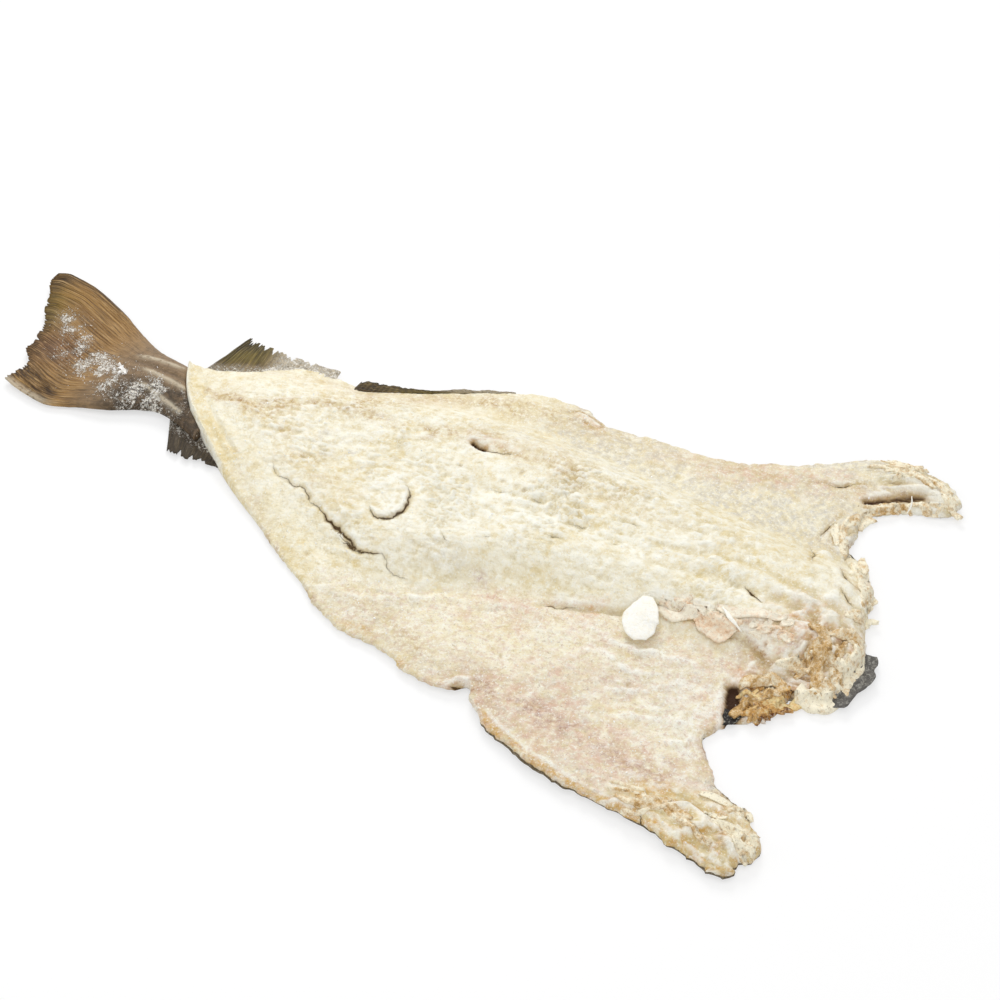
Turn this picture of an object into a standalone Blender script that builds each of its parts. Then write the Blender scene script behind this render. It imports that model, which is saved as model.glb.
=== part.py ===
"""A whole salted dried cod, split open from the belly and laid flat with its flesh up.

The fish is one piece, so it is one closed solid: the boned body, opened like a book along
the line of the back, the tail, which was not split and lies on its flank, and the fins.
+X runs from the tail to the nape, +Y towards the belly edge that the tail lies in line with,
and +Z up. The origin is the centre of the bounding box's base.

All places below are in millimetres on a fish 704 mm long, and SCALE takes them to LENGTH.
"""

import math

import bmesh
import bpy
import numpy as np
from mathutils import Vector, noise

LENGTH = 0.704
DRAWN_LENGTH = 704.0
SCALE = LENGTH / DRAWN_LENGTH

# Thicknesses, in millimetres.
RIM_PUSH = 1.2
FIN_THICKNESS = 2.4
FIN_TIP_THICKNESS = 1.6
RAY_RELIEF = 0.5
RAY_NOTCH = 0.14
END_ROUNDING = 0.45
GROOVE_DEPTH = 3.0
UNEVENNESS = 1.1
UNEVEN_SPAN = 45.0

# Where the tail's unsplit skin ends and the opened flesh begins: x of the fold at each y.
FOLD = [(-14, -168), (-2, -179), (10, -188), (26, -197)]

# The opened body's two long edges, as y at each x, from the fold to the tips of the collars.
LOWER_RIM = [
    (-168, -14), (-150, -28), (-130, -42), (-100, -62), (-60, -85), (-20, -109), (5, -125),
    (30, -136), (75, -141), (83, -147), (105, -149), (122, -147), (129, -142), (136, -152),
    (165, -168), (200, -178), (235, -184), (265, -185), (290, -191), (312, -197), (328, -197),
]
UPPER_RIM = [
    (-197, 26), (-180, 30), (-160, 41), (-140, 56), (-120, 67), (-100, 71), (-75, 71),
    (-50, 80), (-20, 94), (0, 106), (25, 118), (60, 127), (80, 126), (100, 118), (140, 121),
    (180, 122), (210, 131), (240, 146), (262, 160), (280, 172), (300, 178), (322, 180),
    (338, 172), (350, 158),
]
# The torn front edge, as x at each y, from the lower collar past the nape to the upper one.
NAPE_EDGE = [
    (-197, 328), (-190, 332), (-183, 331), (-175, 337), (-165, 339), (-158, 331), (-148, 317),
    (-141, 301), (-136, 295), (-122, 285), (-108, 275), (-99, 281), (-88, 287), (-82, 296),
    (-76, 303), (-60, 308), (-52, 311), (-48, 322), (-42, 335), (-25, 337), (0, 342),
    (10, 337), (22, 332), (36, 328), (48, 329), (58, 324), (64, 314), (69, 303), (80, 299),
    (95, 297), (110, 296), (122, 299), (131, 305), (138, 318), (142, 335), (147, 348),
    (158, 350),
]
# The edges of the thick loins, as y at each x. Outside them lie the thin belly flaps.
LOIN_LOWER = [(-170, -10), (-120, -44), (-50, -78), (20, -100), (60, -90), (110, -66), (200, -48), (330, -46)]
LOIN_UPPER = [(-190, 26), (-150, 46), (-80, 66), (0, 88), (80, 92), (200, 82), (330, 74)]

# Heights of the top face over the table, as z at each x.
CREST = [(-197, 15), (-165, 17.5), (-110, 20), (-30, 23), (80, 26), (200, 27), (280, 24), (318, 18), (345, 12)]
FLAP = [(-197, 14.5), (-130, 13), (-60, 10.5), (40, 8.5), (200, 8), (345, 8)]
LOWER_EDGE = [(-197, 14.5), (-168, 14.5), (-130, 10.5), (-100, 8), (0, 6.5), (330, 6)]
UPPER_EDGE = [(-197, 15), (-170, 11), (-140, 8), (-60, 6.5), (330, 6)]
EDGE_RISE = 20.0
LOIN_SHOULDER = 42.0

# How far the underside curls up off the table at the two edges, as z at each x.
LOWER_CURL = [(-168, 0.5), (0, 1.0), (120, 3.0), (200, 4.5), (330, 3.5)]
UPPER_CURL = [(-197, 0.5), (0, 1.5), (180, 2.5), (350, 4.0)]
CURL_SPAN = 45.0

# Lumps and hollows of the flesh: x, y, half-length, half-width and height.
LUMPS = {
    "lower_collar": (298, -174, 34, 14, 6.0),
    "upper_collar": (322, 162, 20, 12, 6.0),
    "collar_hollow": (308, 148, 14, 5, -3.5),
    "nape_torn_ridge": (322, -10, 14, 26, 4.0),
    "nape_hollow": (292, -66, 10, 14, -7.0),
    "tail_flank": (-120, 10, 45, 18, 1.6),
    "loose_flake": (196, -40, 12, 15, 2.2),
}

# The tail: the narrow peduncle, which runs in under the fold, and the tail fin.
TAIL_UPPER = [(-350, 74), (-340, 78), (-320, 76), (-300, 69), (-280, 61), (-260, 50), (-240, 39), (-220, 31), (-197, 27), (-165, 18), (-125, 0)]
TAIL_LOWER = [(-314, -43), (-300, -47), (-272, -51), (-250, -44), (-225, -36), (-205, -26), (-190, -22), (-170, -26), (-145, -37), (-125, -45)]
TAIL_EDGE = [(-43, -314), (-36, -313), (-20, -309), (-8, -319), (2, -321), (14, -323), (26, -330), (40, -336), (54, -345), (66, -351), (74, -350)]
TAIL_TEETH = 17
TOOTH_DEPTH = 3.0
TAIL_RAYS = 8
TAIL_CREST = [(-330, 0), (-285, 0), (-262, 2.5), (-245, 6.5), (-215, 10.5), (-180, 12.0), (-125, 10.0)]
TAIL_LIFT = [(-351, 5.0), (-300, 3.2), (-240, 1.0), (-200, 0.6), (-125, 0.6)]

# Each fin: root from and to, tip from and to, rays, height of its root and of its tip.
FINS = {
    "second_anal": ((-186, 27), (-112, 64), (-177, 76), (-122, 71), 9, 4.0, 6.0),
    "third_dorsal": ((-184, -16), (-118, -40), (-163, -51), (-121, -47), 9, 2.6, 1.6),
    "first_anal": ((-74, 66), (26, 112), (-77, 79), (24, 122), 15, 3.0, 5.5),
}
# Bare skin that reaches past the torn flesh: the same kind of strip, without rays.
SKIN_ENDS = {
    "nape_skin": ((330, -48), (333, 2), (347, -44), (352, -2), 0, 1.4, 3.2),
    "throat_skin": ((272, -98), (268, -70), (289, -95), (285, -72), 0, 1.2, 1.6),
}

BODY_ROWS, BODY_COLUMNS = 60, 25
TAIL_ROWS, TAIL_COLUMNS = 14, 34
STRIP_ROWS = 3


def through(points):
    """A smooth curve through (place, value) points that never overshoots between them."""
    at, value = (np.array(column, float) for column in zip(*points))
    step = np.diff(at)
    slope = np.diff(value) / step
    inner = np.where(slope[:-1] * slope[1:] > 0, 2 * slope[:-1] * slope[1:] / (slope[:-1] + slope[1:] + 1e-12), 0)
    tangent = np.concatenate([[slope[0]], inner, [slope[-1]]])

    def curve(place):
        place = np.clip(place, at[0], at[-1])
        i = int(np.clip(np.searchsorted(at, place, side="right") - 1, 0, len(step) - 1))
        u = (place - at[i]) / step[i]
        start = (1 + 2 * u) * (1 - u) ** 2 * value[i] + u * u * (3 - 2 * u) * value[i + 1]
        return float(start + step[i] * (u * (1 - u) ** 2 * tangent[i] - u * u * (1 - u) * tangent[i + 1]))

    return curve


def rise(u):
    """0 before u = 0, 1 after u = 1, and smooth between."""
    u = min(1.0, max(0.0, u))
    return u * u * (3 - 2 * u)


def mix(a, b, share):
    return a + (b - a) * share


lower_rim, upper_rim = through(LOWER_RIM), through(UPPER_RIM)
fold, nape_edge = through(FOLD), through(NAPE_EDGE)
loin_lower, loin_upper = through(LOIN_LOWER), through(LOIN_UPPER)
crest, flap = through(CREST), through(FLAP)
lower_edge, upper_edge = through(LOWER_EDGE), through(UPPER_EDGE)
lower_curl, upper_curl = through(LOWER_CURL), through(UPPER_CURL)
tail_upper, tail_lower, tail_edge = through(TAIL_UPPER), through(TAIL_LOWER), through(TAIL_EDGE)
tail_crest, tail_lift = through(TAIL_CREST), through(TAIL_LIFT)


def patch(start, middle_from, middle_to, end, low, high, at_start, at_end):
    """Maps (s, t), each from 0 to 1, to a place in plan.

    s runs along the fish, from the curve start to the curve end, and t across it, from the
    rim low to the rim high. Between middle_from and middle_to the rows are straight.
    """
    first = (middle_from - start(at_start[0])) / (end(at_end[0]) - start(at_start[0]))
    last = (middle_to - start(at_start[0])) / (end(at_end[0]) - start(at_start[0]))

    def along(s, from_x, to_x):
        if s < first:
            return mix(from_x, middle_from, s / first)
        if s > last:
            return mix(middle_to, to_x, (s - last) / (1 - last))
        return mix(middle_from, middle_to, (s - first) / (last - first))

    def place(s, t):
        from_x = start(mix(*at_start, t))
        to_x = end(mix(*at_end, t))
        low_x = along(s, start(at_start[0]), end(at_end[0]))
        high_x = along(s, start(at_start[1]), end(at_end[1]))
        return along(s, from_x, to_x), mix(low(low_x), high(high_x), t)

    return place


def uneven(x, y):
    """The slow unevenness of flesh that has dried."""
    return UNEVENNESS * noise.noise(Vector((x / UNEVEN_SPAN, y / UNEVEN_SPAN, 1.7)))


def lump(x, y):
    total = 0.0
    for at_x, at_y, half_x, half_y, height in LUMPS.values():
        total += height * math.exp(-((x - at_x) / half_x) ** 2 - ((y - at_y) / half_y) ** 2)
    return total


def body_bottom(x, y):
    low, high = lower_rim(x), upper_rim(x)
    curl = lower_curl(x) * (1 - min(1, max(0, y - low) / CURL_SPAN)) ** 2
    return curl + upper_curl(x) * (1 - min(1, max(0, high - y) / CURL_SPAN)) ** 2


def body_top(x, y):
    """The flesh: thin flaps at both edges, and two thick loins with a groove between them."""
    low, high = lower_rim(x), upper_rim(x)
    flat = flap(x)
    from_low = 1 - rise((y - low) / EDGE_RISE)
    from_high = 1 - rise((high - y) / EDGE_RISE)
    loins = rise((y - loin_lower(x)) / LOIN_SHOULDER) * rise((loin_upper(x) - y) / LOIN_SHOULDER)
    groove = GROOVE_DEPTH * rise((x + 60) / 120) * math.exp(-((y - 2) / 9) ** 2) * loins
    top = flat + (lower_edge(x) - flat) * from_low + (upper_edge(x) - flat) * from_high
    top += (crest(x) - flat) * loins - groove
    top += (lump(x, y) + uneven(x, y)) * (1 - 0.6 * max(from_low, from_high))
    return body_bottom(x, y) + max(2.5, top)


def tail_place(x, y):
    """How far across the tail a place lies: -1 and 1 at the two edges."""
    low, high = tail_lower(x), tail_upper(x)
    return (2 * y - low - high) / (high - low)


def tail_bottom(x, y):
    return tail_lift(x) + 0.4 * tail_crest(x) * tail_place(x, y) ** 2


def tail_top(x, y):
    across = min(1.0, abs(tail_place(x, y)))
    fin = rise((-245 - x) / 40)
    ray = math.cos(math.pi * TAIL_RAYS * (tail_place(x, y) + 1)) * RAY_RELIEF * fin
    flank = tail_crest(x) * math.sqrt(max(0.0, 1 - across ** 2.4))
    return tail_lift(x) + 0.4 * tail_crest(x) * across ** 2 + FIN_THICKNESS + flank * (1 - 0.3 * across ** 2) + ray


def slab(name, rows, columns, place, top, bottom, push=RIM_PUSH, sides=0.35):
    """A closed slab over a patch: a grid bent to the top face, extruded down to the bottom one.

    The wall between them is cut once along its middle, and the cut is pushed outwards, so
    that the rim is rounded. sides crowds the columns towards the two rims.
    """
    mesh = bmesh.new()
    bmesh.ops.create_grid(mesh, x_segments=rows, y_segments=columns, size=1)
    underneath = mesh.verts.layers.float.new("underneath")
    for vertex in mesh.verts:
        s, t = (vertex.co.x + 1) / 2, (vertex.co.y + 1) / 2
        t = mix(t, 0.5 - 0.5 * math.cos(math.pi * t), sides)
        x, y = place(s, t)
        vertex[underneath] = bottom(x, y)
        vertex.co = (x, y, top(x, y))
    made = bmesh.ops.extrude_face_region(mesh, geom=mesh.faces[:])["geom"]
    below = {vertex for vertex in made if isinstance(vertex, bmesh.types.BMVert)}
    for vertex in below:
        vertex.co.z = vertex[underneath]
    bmesh.ops.recalc_face_normals(mesh, faces=mesh.faces[:])
    wall = [edge for edge in mesh.edges if (edge.verts[0] in below) != (edge.verts[1] in below)]
    cut = bmesh.ops.subdivide_edges(mesh, edges=wall, cuts=1)["geom_inner"]
    mesh.normal_update()
    for vertex in cut:
        if isinstance(vertex, bmesh.types.BMVert):
            outward = Vector((vertex.normal.x, vertex.normal.y, 0))
            vertex.co += outward.normalized() * push
    return finish(name, mesh)


def finish(name, mesh):
    """Turns a bmesh drawn in millimetres into an object in metres."""
    for vertex in mesh.verts:
        vertex.co *= SCALE
    bmesh.ops.triangulate(mesh, faces=mesh.faces[:])
    bmesh.ops.recalc_face_normals(mesh, faces=mesh.faces[:])
    data = bpy.data.meshes.new(name)
    mesh.to_mesh(data)
    mesh.free()
    thing = bpy.data.objects.new(name, data)
    bpy.context.scene.collection.objects.link(thing)
    return thing


def body():
    place = patch(fold, -135, 262, nape_edge, lower_rim, upper_rim, (-14, 26), (-197, 158))
    return slab("salted_cod", BODY_ROWS, BODY_COLUMNS, place, body_top, body_bottom)


def tail():
    def ragged(y):
        tooth = abs((((y + 43) / 117 * TAIL_TEETH) % 1) - 0.5) * 2
        return tail_edge(y) + TOOTH_DEPTH * tooth * rise((72 - y) / 20)

    def root(y):
        return -125.0

    place = patch(ragged, -285, -150, root, tail_lower, tail_upper, (-43, 74), (-45, 0))
    return slab("tail", TAIL_ROWS, TAIL_COLUMNS, place, tail_top, tail_bottom, push=0.5, sides=0.0)


def strip(name, root_from, root_to, tip_from, tip_to, rays, root_z, tip_z):
    """A fin or a flap of bare skin: a thin slab from its root line to its ragged outer edge."""
    columns = max(8, 2 * rays)
    height = {}

    def place(s, t):
        root_x, root_y = mix(root_from[0], root_to[0], t), mix(root_from[1], root_to[1], t)
        if rays:
            reach = 1 - RAY_NOTCH * abs(noise.noise(Vector((t * rays * 1.3, root_x, root_y)))) * 2
        else:
            reach = 1 - END_ROUNDING * abs(2 * t - 1) ** 3
        tip_x, tip_y = mix(tip_from[0], tip_to[0], t), mix(tip_from[1], tip_to[1], t)
        x, y = mix(root_x, tip_x, s * reach), mix(root_y, tip_y, s * reach)
        ridge = (0.3 if rays else 0.0) * math.cos(2 * math.pi * rays * t)
        height[x, y] = (mix(root_z, tip_z, s), mix(FIN_THICKNESS, FIN_TIP_THICKNESS, s) + ridge)
        return x, y

    def bottom(x, y):
        return height[x, y][0]

    def top(x, y):
        return sum(height[x, y])

    return slab(name, STRIP_ROWS, columns, place, top, bottom, push=0.3, sides=0.0)


def join(whole, piece):
    """Grows one piece onto the fish, so that the whole stays one closed solid."""
    union = whole.modifiers.new(piece.name, "BOOLEAN")
    union.operation = "UNION"
    union.solver = "EXACT"
    union.object = piece
    piece.hide_render = True
    piece.display_type = "WIRE"


def dried_flesh():
    look = bpy.data.materials.new("dried_flesh")
    look.use_nodes = True
    shader = look.node_tree.nodes["Principled BSDF"]
    shader.inputs["Base Color"].default_value = (0.86, 0.79, 0.61, 1)
    shader.inputs["Roughness"].default_value = 0.7
    shader.inputs["Metallic"].default_value = 0.0
    return look


def centre(things):
    """Moves everything so that the whole's box is centred on the origin and stands on z = 0."""
    corners = [thing.matrix_world @ vertex.co for thing in things for vertex in thing.data.vertices]
    low = Vector(min(corner[axis] for corner in corners) for axis in range(3))
    high = Vector(max(corner[axis] for corner in corners) for axis in range(3))
    shift = Vector(((low.x + high.x) / 2, (low.y + high.y) / 2, low.z))
    for thing in things:
        for vertex in thing.data.vertices:
            vertex.co -= shift


def main():
    for thing in list(bpy.data.objects):
        bpy.data.objects.remove(thing)
    fish = body()
    fish.data.materials.append(dried_flesh())
    pieces = [tail()]
    pieces += [strip(name, *form) for name, form in {**FINS, **SKIN_ENDS}.items()]
    centre([fish, *pieces])
    for piece in pieces:
        join(fish, piece)


main()
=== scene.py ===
# %% [markdown]
# # A whole salted dried cod
#
# The fish was headed, split open from the belly, boned, salted and dried flat. This file
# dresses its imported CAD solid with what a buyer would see: rough white flesh, the skin
# beneath it, the unsplit tail, the fins, the torn neck and the salt.

import math

import bmesh
import bpy
import numpy as np
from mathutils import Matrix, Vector
from mathutils.kdtree import KDTree


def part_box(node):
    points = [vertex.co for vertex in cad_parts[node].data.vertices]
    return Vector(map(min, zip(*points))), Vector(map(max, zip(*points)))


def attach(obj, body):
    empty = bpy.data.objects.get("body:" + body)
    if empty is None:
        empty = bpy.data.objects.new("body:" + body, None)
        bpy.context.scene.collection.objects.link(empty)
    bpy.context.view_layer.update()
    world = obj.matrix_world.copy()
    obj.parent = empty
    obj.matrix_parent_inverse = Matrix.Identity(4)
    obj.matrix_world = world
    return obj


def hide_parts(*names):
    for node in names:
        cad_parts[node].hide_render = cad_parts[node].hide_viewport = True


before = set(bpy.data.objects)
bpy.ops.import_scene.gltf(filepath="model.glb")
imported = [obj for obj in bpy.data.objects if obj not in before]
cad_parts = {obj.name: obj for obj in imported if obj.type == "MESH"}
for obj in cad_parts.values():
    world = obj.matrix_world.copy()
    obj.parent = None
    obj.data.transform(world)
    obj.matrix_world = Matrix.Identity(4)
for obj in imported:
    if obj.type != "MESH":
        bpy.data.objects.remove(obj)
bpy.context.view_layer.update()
NODE = "salted_cod"
MM = 0.001

# %% [markdown]
# ## Where things are
#
# A fish is easiest to describe on a cutting board: in millimetres, with x along it from the
# tail to the neck and y across it. One corner of the CAD box, met with the same corner on
# the board, gives the step from the board to the frame.

# %% The step from the board to the frame
low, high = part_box(NODE)
BOARD_CORNER = (-351.3, -198.2)
STEP_X = low.x / MM - BOARD_CORNER[0]
STEP_Y = low.y / MM - BOARD_CORNER[1]
print(f"CAD box {low.x:.4f} {low.y:.4f} {low.z:.4f} to {high.x:.4f} {high.y:.4f} {high.z:.4f}")
print(f"board to frame: {STEP_X:.2f} {STEP_Y:.2f} mm")


# %% [markdown]
# ## Curves
#
# Each edge of the fish is a smooth curve through a few places. A plain cubic would swing
# past its points at a sharp turn, so the slope at each point is the harmonic mean of the
# two slopes beside it, which never overshoots.

# %% Smooth curves and blends
def through(points):
    """A smooth curve through (place, value) points that takes whole arrays."""
    at, value = (np.array(column, float) for column in zip(*points))
    step = np.diff(at)
    slope = np.diff(value) / step
    product = slope[:-1] * slope[1:]
    inner = np.where(product > 0, 2 * product / (slope[:-1] + slope[1:] + 1e-12), 0)
    tangent = np.concatenate([[slope[0]], inner, [slope[-1]]])

    def curve(place):
        place = np.clip(place, at[0], at[-1])
        i = np.clip(np.searchsorted(at, place, side="right") - 1, 0, len(step) - 1)
        u = (place - at[i]) / step[i]
        ends = (1 + 2 * u) * (1 - u) ** 2 * value[i] + u * u * (3 - 2 * u) * value[i + 1]
        bend = u * (1 - u) ** 2 * tangent[i] - u * u * (1 - u) * tangent[i + 1]
        return ends + step[i] * bend

    return curve


def rise(u):
    """0 before u = 0, 1 after u = 1, and smooth between."""
    u = np.clip(u, 0, 1)
    return u * u * (3 - 2 * u)


def mix(a, b, share):
    return a + (b - a) * share


# %% The fish's edges on the board, in millimetres
fold = through([(-14, -168), (-2, -179), (10, -188), (26, -197)])
lower_rim = through([
    (-168, -14), (-150, -28), (-130, -42), (-100, -62), (-60, -85), (-20, -109), (5, -125),
    (30, -136), (75, -141), (83, -147), (105, -149), (122, -147), (129, -142), (136, -152),
    (165, -168), (200, -178), (235, -184), (265, -185), (290, -191), (312, -197), (328, -197)])
upper_rim = through([
    (-197, 26), (-180, 30), (-160, 41), (-140, 56), (-120, 67), (-100, 71), (-75, 71),
    (-50, 80), (-20, 94), (0, 106), (25, 118), (60, 127), (80, 126), (100, 118), (140, 121),
    (180, 122), (210, 131), (240, 146), (262, 160), (280, 172), (300, 178), (322, 180),
    (338, 172), (350, 158)])
nape_edge = through([
    (-197, 328), (-190, 332), (-183, 331), (-175, 337), (-165, 339), (-158, 331),
    (-148, 317), (-141, 301), (-136, 295), (-122, 285), (-108, 275), (-99, 281), (-88, 287),
    (-82, 296), (-76, 303), (-60, 308), (-52, 311), (-48, 322), (-42, 335), (-25, 337),
    (0, 342), (10, 337), (22, 332), (36, 328), (48, 329), (58, 324), (64, 314), (69, 303),
    (80, 299), (95, 297), (110, 296), (122, 299), (131, 305), (138, 318), (142, 335),
    (147, 348), (158, 350)])

# %% Heights over the table, in millimetres
loin_lower = through([
    (-170, -10), (-120, -44), (-50, -78), (20, -100), (60, -90), (110, -66), (200, -48),
    (330, -46)])
loin_upper = through([
    (-190, 26), (-150, 46), (-80, 66), (0, 88), (80, 92), (200, 82), (330, 74)])
crest = through([
    (-197, 15), (-165, 17.5), (-110, 20), (-30, 23), (80, 26), (200, 27), (280, 24),
    (318, 18), (345, 12)])
flap = through([(-197, 14.5), (-130, 13), (-60, 10.5), (40, 8.5), (200, 8), (345, 8)])
lower_edge = through([(-197, 14.5), (-168, 14.5), (-130, 10.5), (-100, 8), (0, 6.5), (330, 6)])
upper_edge = through([(-197, 15), (-170, 11), (-140, 8), (-60, 6.5), (330, 6)])
lower_curl = through([(-168, 0.5), (0, 1.0), (120, 3.0), (200, 4.5), (330, 3.5)])
upper_curl = through([(-197, 0.5), (0, 1.5), (180, 2.5), (350, 4.0)])
EDGE_RISE = 20.0
LOIN_SHOULDER = 42.0
CURL_SPAN = 45.0
GROOVE_DEPTH = 3.0


# %% [markdown]
# ## Dried surfaces
#
# Dried flesh has relief at every size, from slow hollows to grains. It could be sculpted by
# hand, but sums of smooth random fields give it evenly, and the same way on every run. Torn
# and cut places are not random, so each is drawn as a trail of points that the surface is
# pushed down or lifted along.

# %% Random fields and trails
def cloud(x, y, size, seed, octaves=4, gain=0.55):
    """A smooth random field between about -1 and 1, whose largest lumps are size across."""
    table = np.random.default_rng(seed).uniform(-1, 1, (256, 256))
    total, weight, scale = 0.0, 0.0, 1.0
    for octave in range(octaves):
        turn = 0.65 * (octave + seed)
        u = (x * math.cos(turn) + y * math.sin(turn)) / size / scale + 31.7 * octave
        v = (y * math.cos(turn) - x * math.sin(turn)) / size / scale + 11.3 * octave
        i, j = np.floor(u).astype(int), np.floor(v).astype(int)
        fu, fv = rise(u - i), rise(v - j)
        i0, i1, j0, j1 = i % 256, (i + 1) % 256, j % 256, (j + 1) % 256
        low = mix(table[i0, j0], table[i1, j0], fu)
        high_side = mix(table[i0, j1], table[i1, j1], fu)
        total = total + mix(low, high_side, fv) * gain ** octave
        weight += gain ** octave
        scale *= 0.5
    return total / weight * 1.6


def trail(x, y, points):
    """Distance to a line of points, the side it is on (+ is left of its run), and 0 to 1 along."""
    best = np.full(np.shape(x), 1e9)
    side = np.zeros(np.shape(x))
    along = np.zeros(np.shape(x))
    lengths = [math.dist(a, b) for a, b in zip(points, points[1:])]
    run = 0.0
    for (ax, ay), (bx, by), length in zip(points, points[1:], lengths):
        dx, dy = (bx - ax) / length, (by - ay) / length
        t = np.clip((x - ax) * dx + (y - ay) * dy, 0, length)
        gap = np.hypot(x - ax - t * dx, y - ay - t * dy)
        closer = gap < best
        best = np.where(closer, gap, best)
        side = np.where(closer, np.sign(dx * (y - ay) - dy * (x - ax)), side)
        along = np.where(closer, (run + t) / sum(lengths), along)
        run += length
    return best, side, along


def spot(x, y, at_x, at_y, half_x, half_y, turn=0.0):
    """1 at a place, falling smoothly to 0 about one and a half half-widths away."""
    c, s = math.cos(math.radians(turn)), math.sin(math.radians(turn))
    u, v = (x - at_x) * c + (y - at_y) * s, (y - at_y) * c - (x - at_x) * s
    return np.exp(-(u / half_x) ** 2 - (v / half_y) ** 2)


def near(gap, half):
    """1 where the gap is 0, falling smoothly to 0 about one and a half half-widths away."""
    return np.exp(-(gap / half) ** 2)


# %% [markdown]
# ## Closed sheets
#
# Flesh, skin and fins are all sheets with a thickness. A grid in two directions, s and t, is
# bent to the top face, a second one lies below it, and a wall joins their rims, so that each
# piece is closed as the real one is. Masks such as the pink stain, or the brown stain and
# painted shade of the cracks, are kept on the points, where a material can read them.

# %% Build a closed sheet
def grid(rows, columns, crowd_ends=0.0, crowd_sides=0.0):
    s, t = np.linspace(0, 1, rows + 1), np.linspace(0, 1, columns + 1)
    s = mix(s, 0.5 - 0.5 * np.cos(math.pi * s), crowd_ends)
    t = mix(t, 0.5 - 0.5 * np.cos(math.pi * t), crowd_sides)
    return np.meshgrid(s, t, indexing="ij")


def ring_of(rows, columns):
    """Numbers of the grid's rim points, once round."""
    number = np.arange((rows + 1) * (columns + 1)).reshape(rows + 1, columns + 1)
    return np.concatenate([number[0, :-1], number[:-1, -1], number[-1, :0:-1], number[:0:-1, 0]])


def grid_faces(rows, columns):
    number = np.arange((rows + 1) * (columns + 1)).reshape(rows + 1, columns + 1)
    corners = number[:-1, :-1], number[1:, :-1], number[1:, 1:], number[:-1, 1:]
    return np.stack(corners, -1).reshape(-1, 4)


def sheet(name, plan_x, plan_y, top, bottom, masks, open_below=False):
    """A closed sheet from grids of board places. open_below closes the underside with one face."""
    rows, columns = plan_x.shape[0] - 1, plan_x.shape[1] - 1
    upper = np.stack([plan_x, plan_y, top], -1).reshape(-1, 3)
    lower = np.stack([plan_x, plan_y, bottom], -1).reshape(-1, 3)
    ring = ring_of(rows, columns)
    faces = grid_faces(rows, columns).tolist()
    count = len(upper)
    if open_below:
        lower = lower[ring]
        below = np.arange(len(ring)) + count
        faces.append(below.tolist())
    else:
        faces += (grid_faces(rows, columns)[:, ::-1] + count).tolist()
        below = ring + count
    after = np.roll(ring, -1), np.roll(below, -1)
    faces += np.stack([ring, after[0], after[1], below], -1).tolist()
    places = np.concatenate([upper, lower])
    values = {}
    for key, mask in masks.items():
        mask = np.broadcast_to(np.asarray(mask, float), plan_x.shape).reshape(-1)
        values[key] = np.concatenate([mask, mask[ring] if open_below else mask])
    return piece_from(name, places, faces, values)


def piece_from(name, places, faces, values=None):
    """An object from points in millimetres on the board, with its masks."""
    places = (np.asarray(places, float) + (STEP_X, STEP_Y, 0)) * MM
    mesh = bpy.data.meshes.new(name)
    mesh.from_pydata(places.tolist(), [], faces)
    for key, mask in (values or {}).items():
        layer = mesh.attributes.new(key, "FLOAT", "POINT")
        layer.data.foreach_set("value", np.asarray(mask, np.float32))
    mesh.update()
    mesh.validate()
    work = bmesh.new()
    work.from_mesh(mesh)
    bmesh.ops.recalc_face_normals(work, faces=work.faces[:])
    work.to_mesh(mesh)
    work.free()
    mesh.polygons.foreach_set("use_smooth", np.ones(len(mesh.polygons), bool))
    piece = bpy.data.objects.new(name, mesh)
    bpy.context.scene.collection.objects.link(piece)
    print(f"{name}: {len(mesh.vertices)} points, {len(mesh.polygons)} faces")
    return piece


def settle(piece, material):
    """Gives a piece its material and ties it to the frame."""
    piece.data.materials.append(material)
    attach(piece, "root")
    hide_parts(NODE)
    return piece


# %% [markdown]
# ## The plan of the opened body
#
# Every row of the body's grid runs from one belly edge to the other. At the tail the rows
# follow the fold, at the neck they follow the torn edge, and between them they are straight.
# The rims are given a slight raggedness, because they were cut and torn before drying.

# %% Map the grid onto the board
def patch(s, t, start, straight, end, low_rim, high_rim, at_start, at_end):
    from_x, to_x = start(mix(*at_start, t)), end(mix(*at_end, t))
    low_ends = start(np.array(at_start[0])), end(np.array(at_end[0]))
    high_ends = start(np.array(at_start[1])), end(np.array(at_end[1]))
    first = (straight[0] - low_ends[0]) / (low_ends[1] - low_ends[0])
    last = (straight[1] - low_ends[0]) / (low_ends[1] - low_ends[0])

    def along(begin, until):
        head = mix(begin, straight[0], s / first)
        middle = mix(straight[0], straight[1], (s - first) / (last - first))
        tail = mix(straight[1], until, (s - last) / (1 - last))
        return np.where(s < first, head, np.where(s > last, tail, middle))

    low_x, high_x = along(*low_ends), along(*high_ends)
    return along(from_x, to_x), mix(low_rim(low_x), high_rim(high_x), t)


def body_plan(rows, columns, sides):
    s, t = grid(rows, columns, 0.0, sides)
    return patch(s, t, fold, (-135, 262), nape_edge, lower_rim, upper_rim, (-14, 26), (-197, 158))


def rim_gap(plan_x, plan_y):
    """Distance from each point to the nearest rim point."""
    ring = ring_of(plan_x.shape[0] - 1, plan_x.shape[1] - 1)
    flat = np.stack([plan_x.reshape(-1), plan_y.reshape(-1)], -1)
    tree = KDTree(len(ring))
    for i, place in enumerate(flat[ring]):
        tree.insert((place[0], place[1], 0), i)
    tree.balance()
    gap = np.array([tree.find((px, py, 0))[2] for px, py in flat])
    return gap.reshape(plan_x.shape)


def ragged(plan_x, plan_y, gap, depth, size, seed):
    """Shifts the places near the rim in and out a little."""
    share = near(gap, 6.0)
    shift_x = cloud(plan_x, plan_y, size, seed, 3) * depth * share
    shift_y = cloud(plan_x, plan_y, size, seed + 1, 3) * depth * share
    return plan_x + shift_x, plan_y + shift_y


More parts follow.
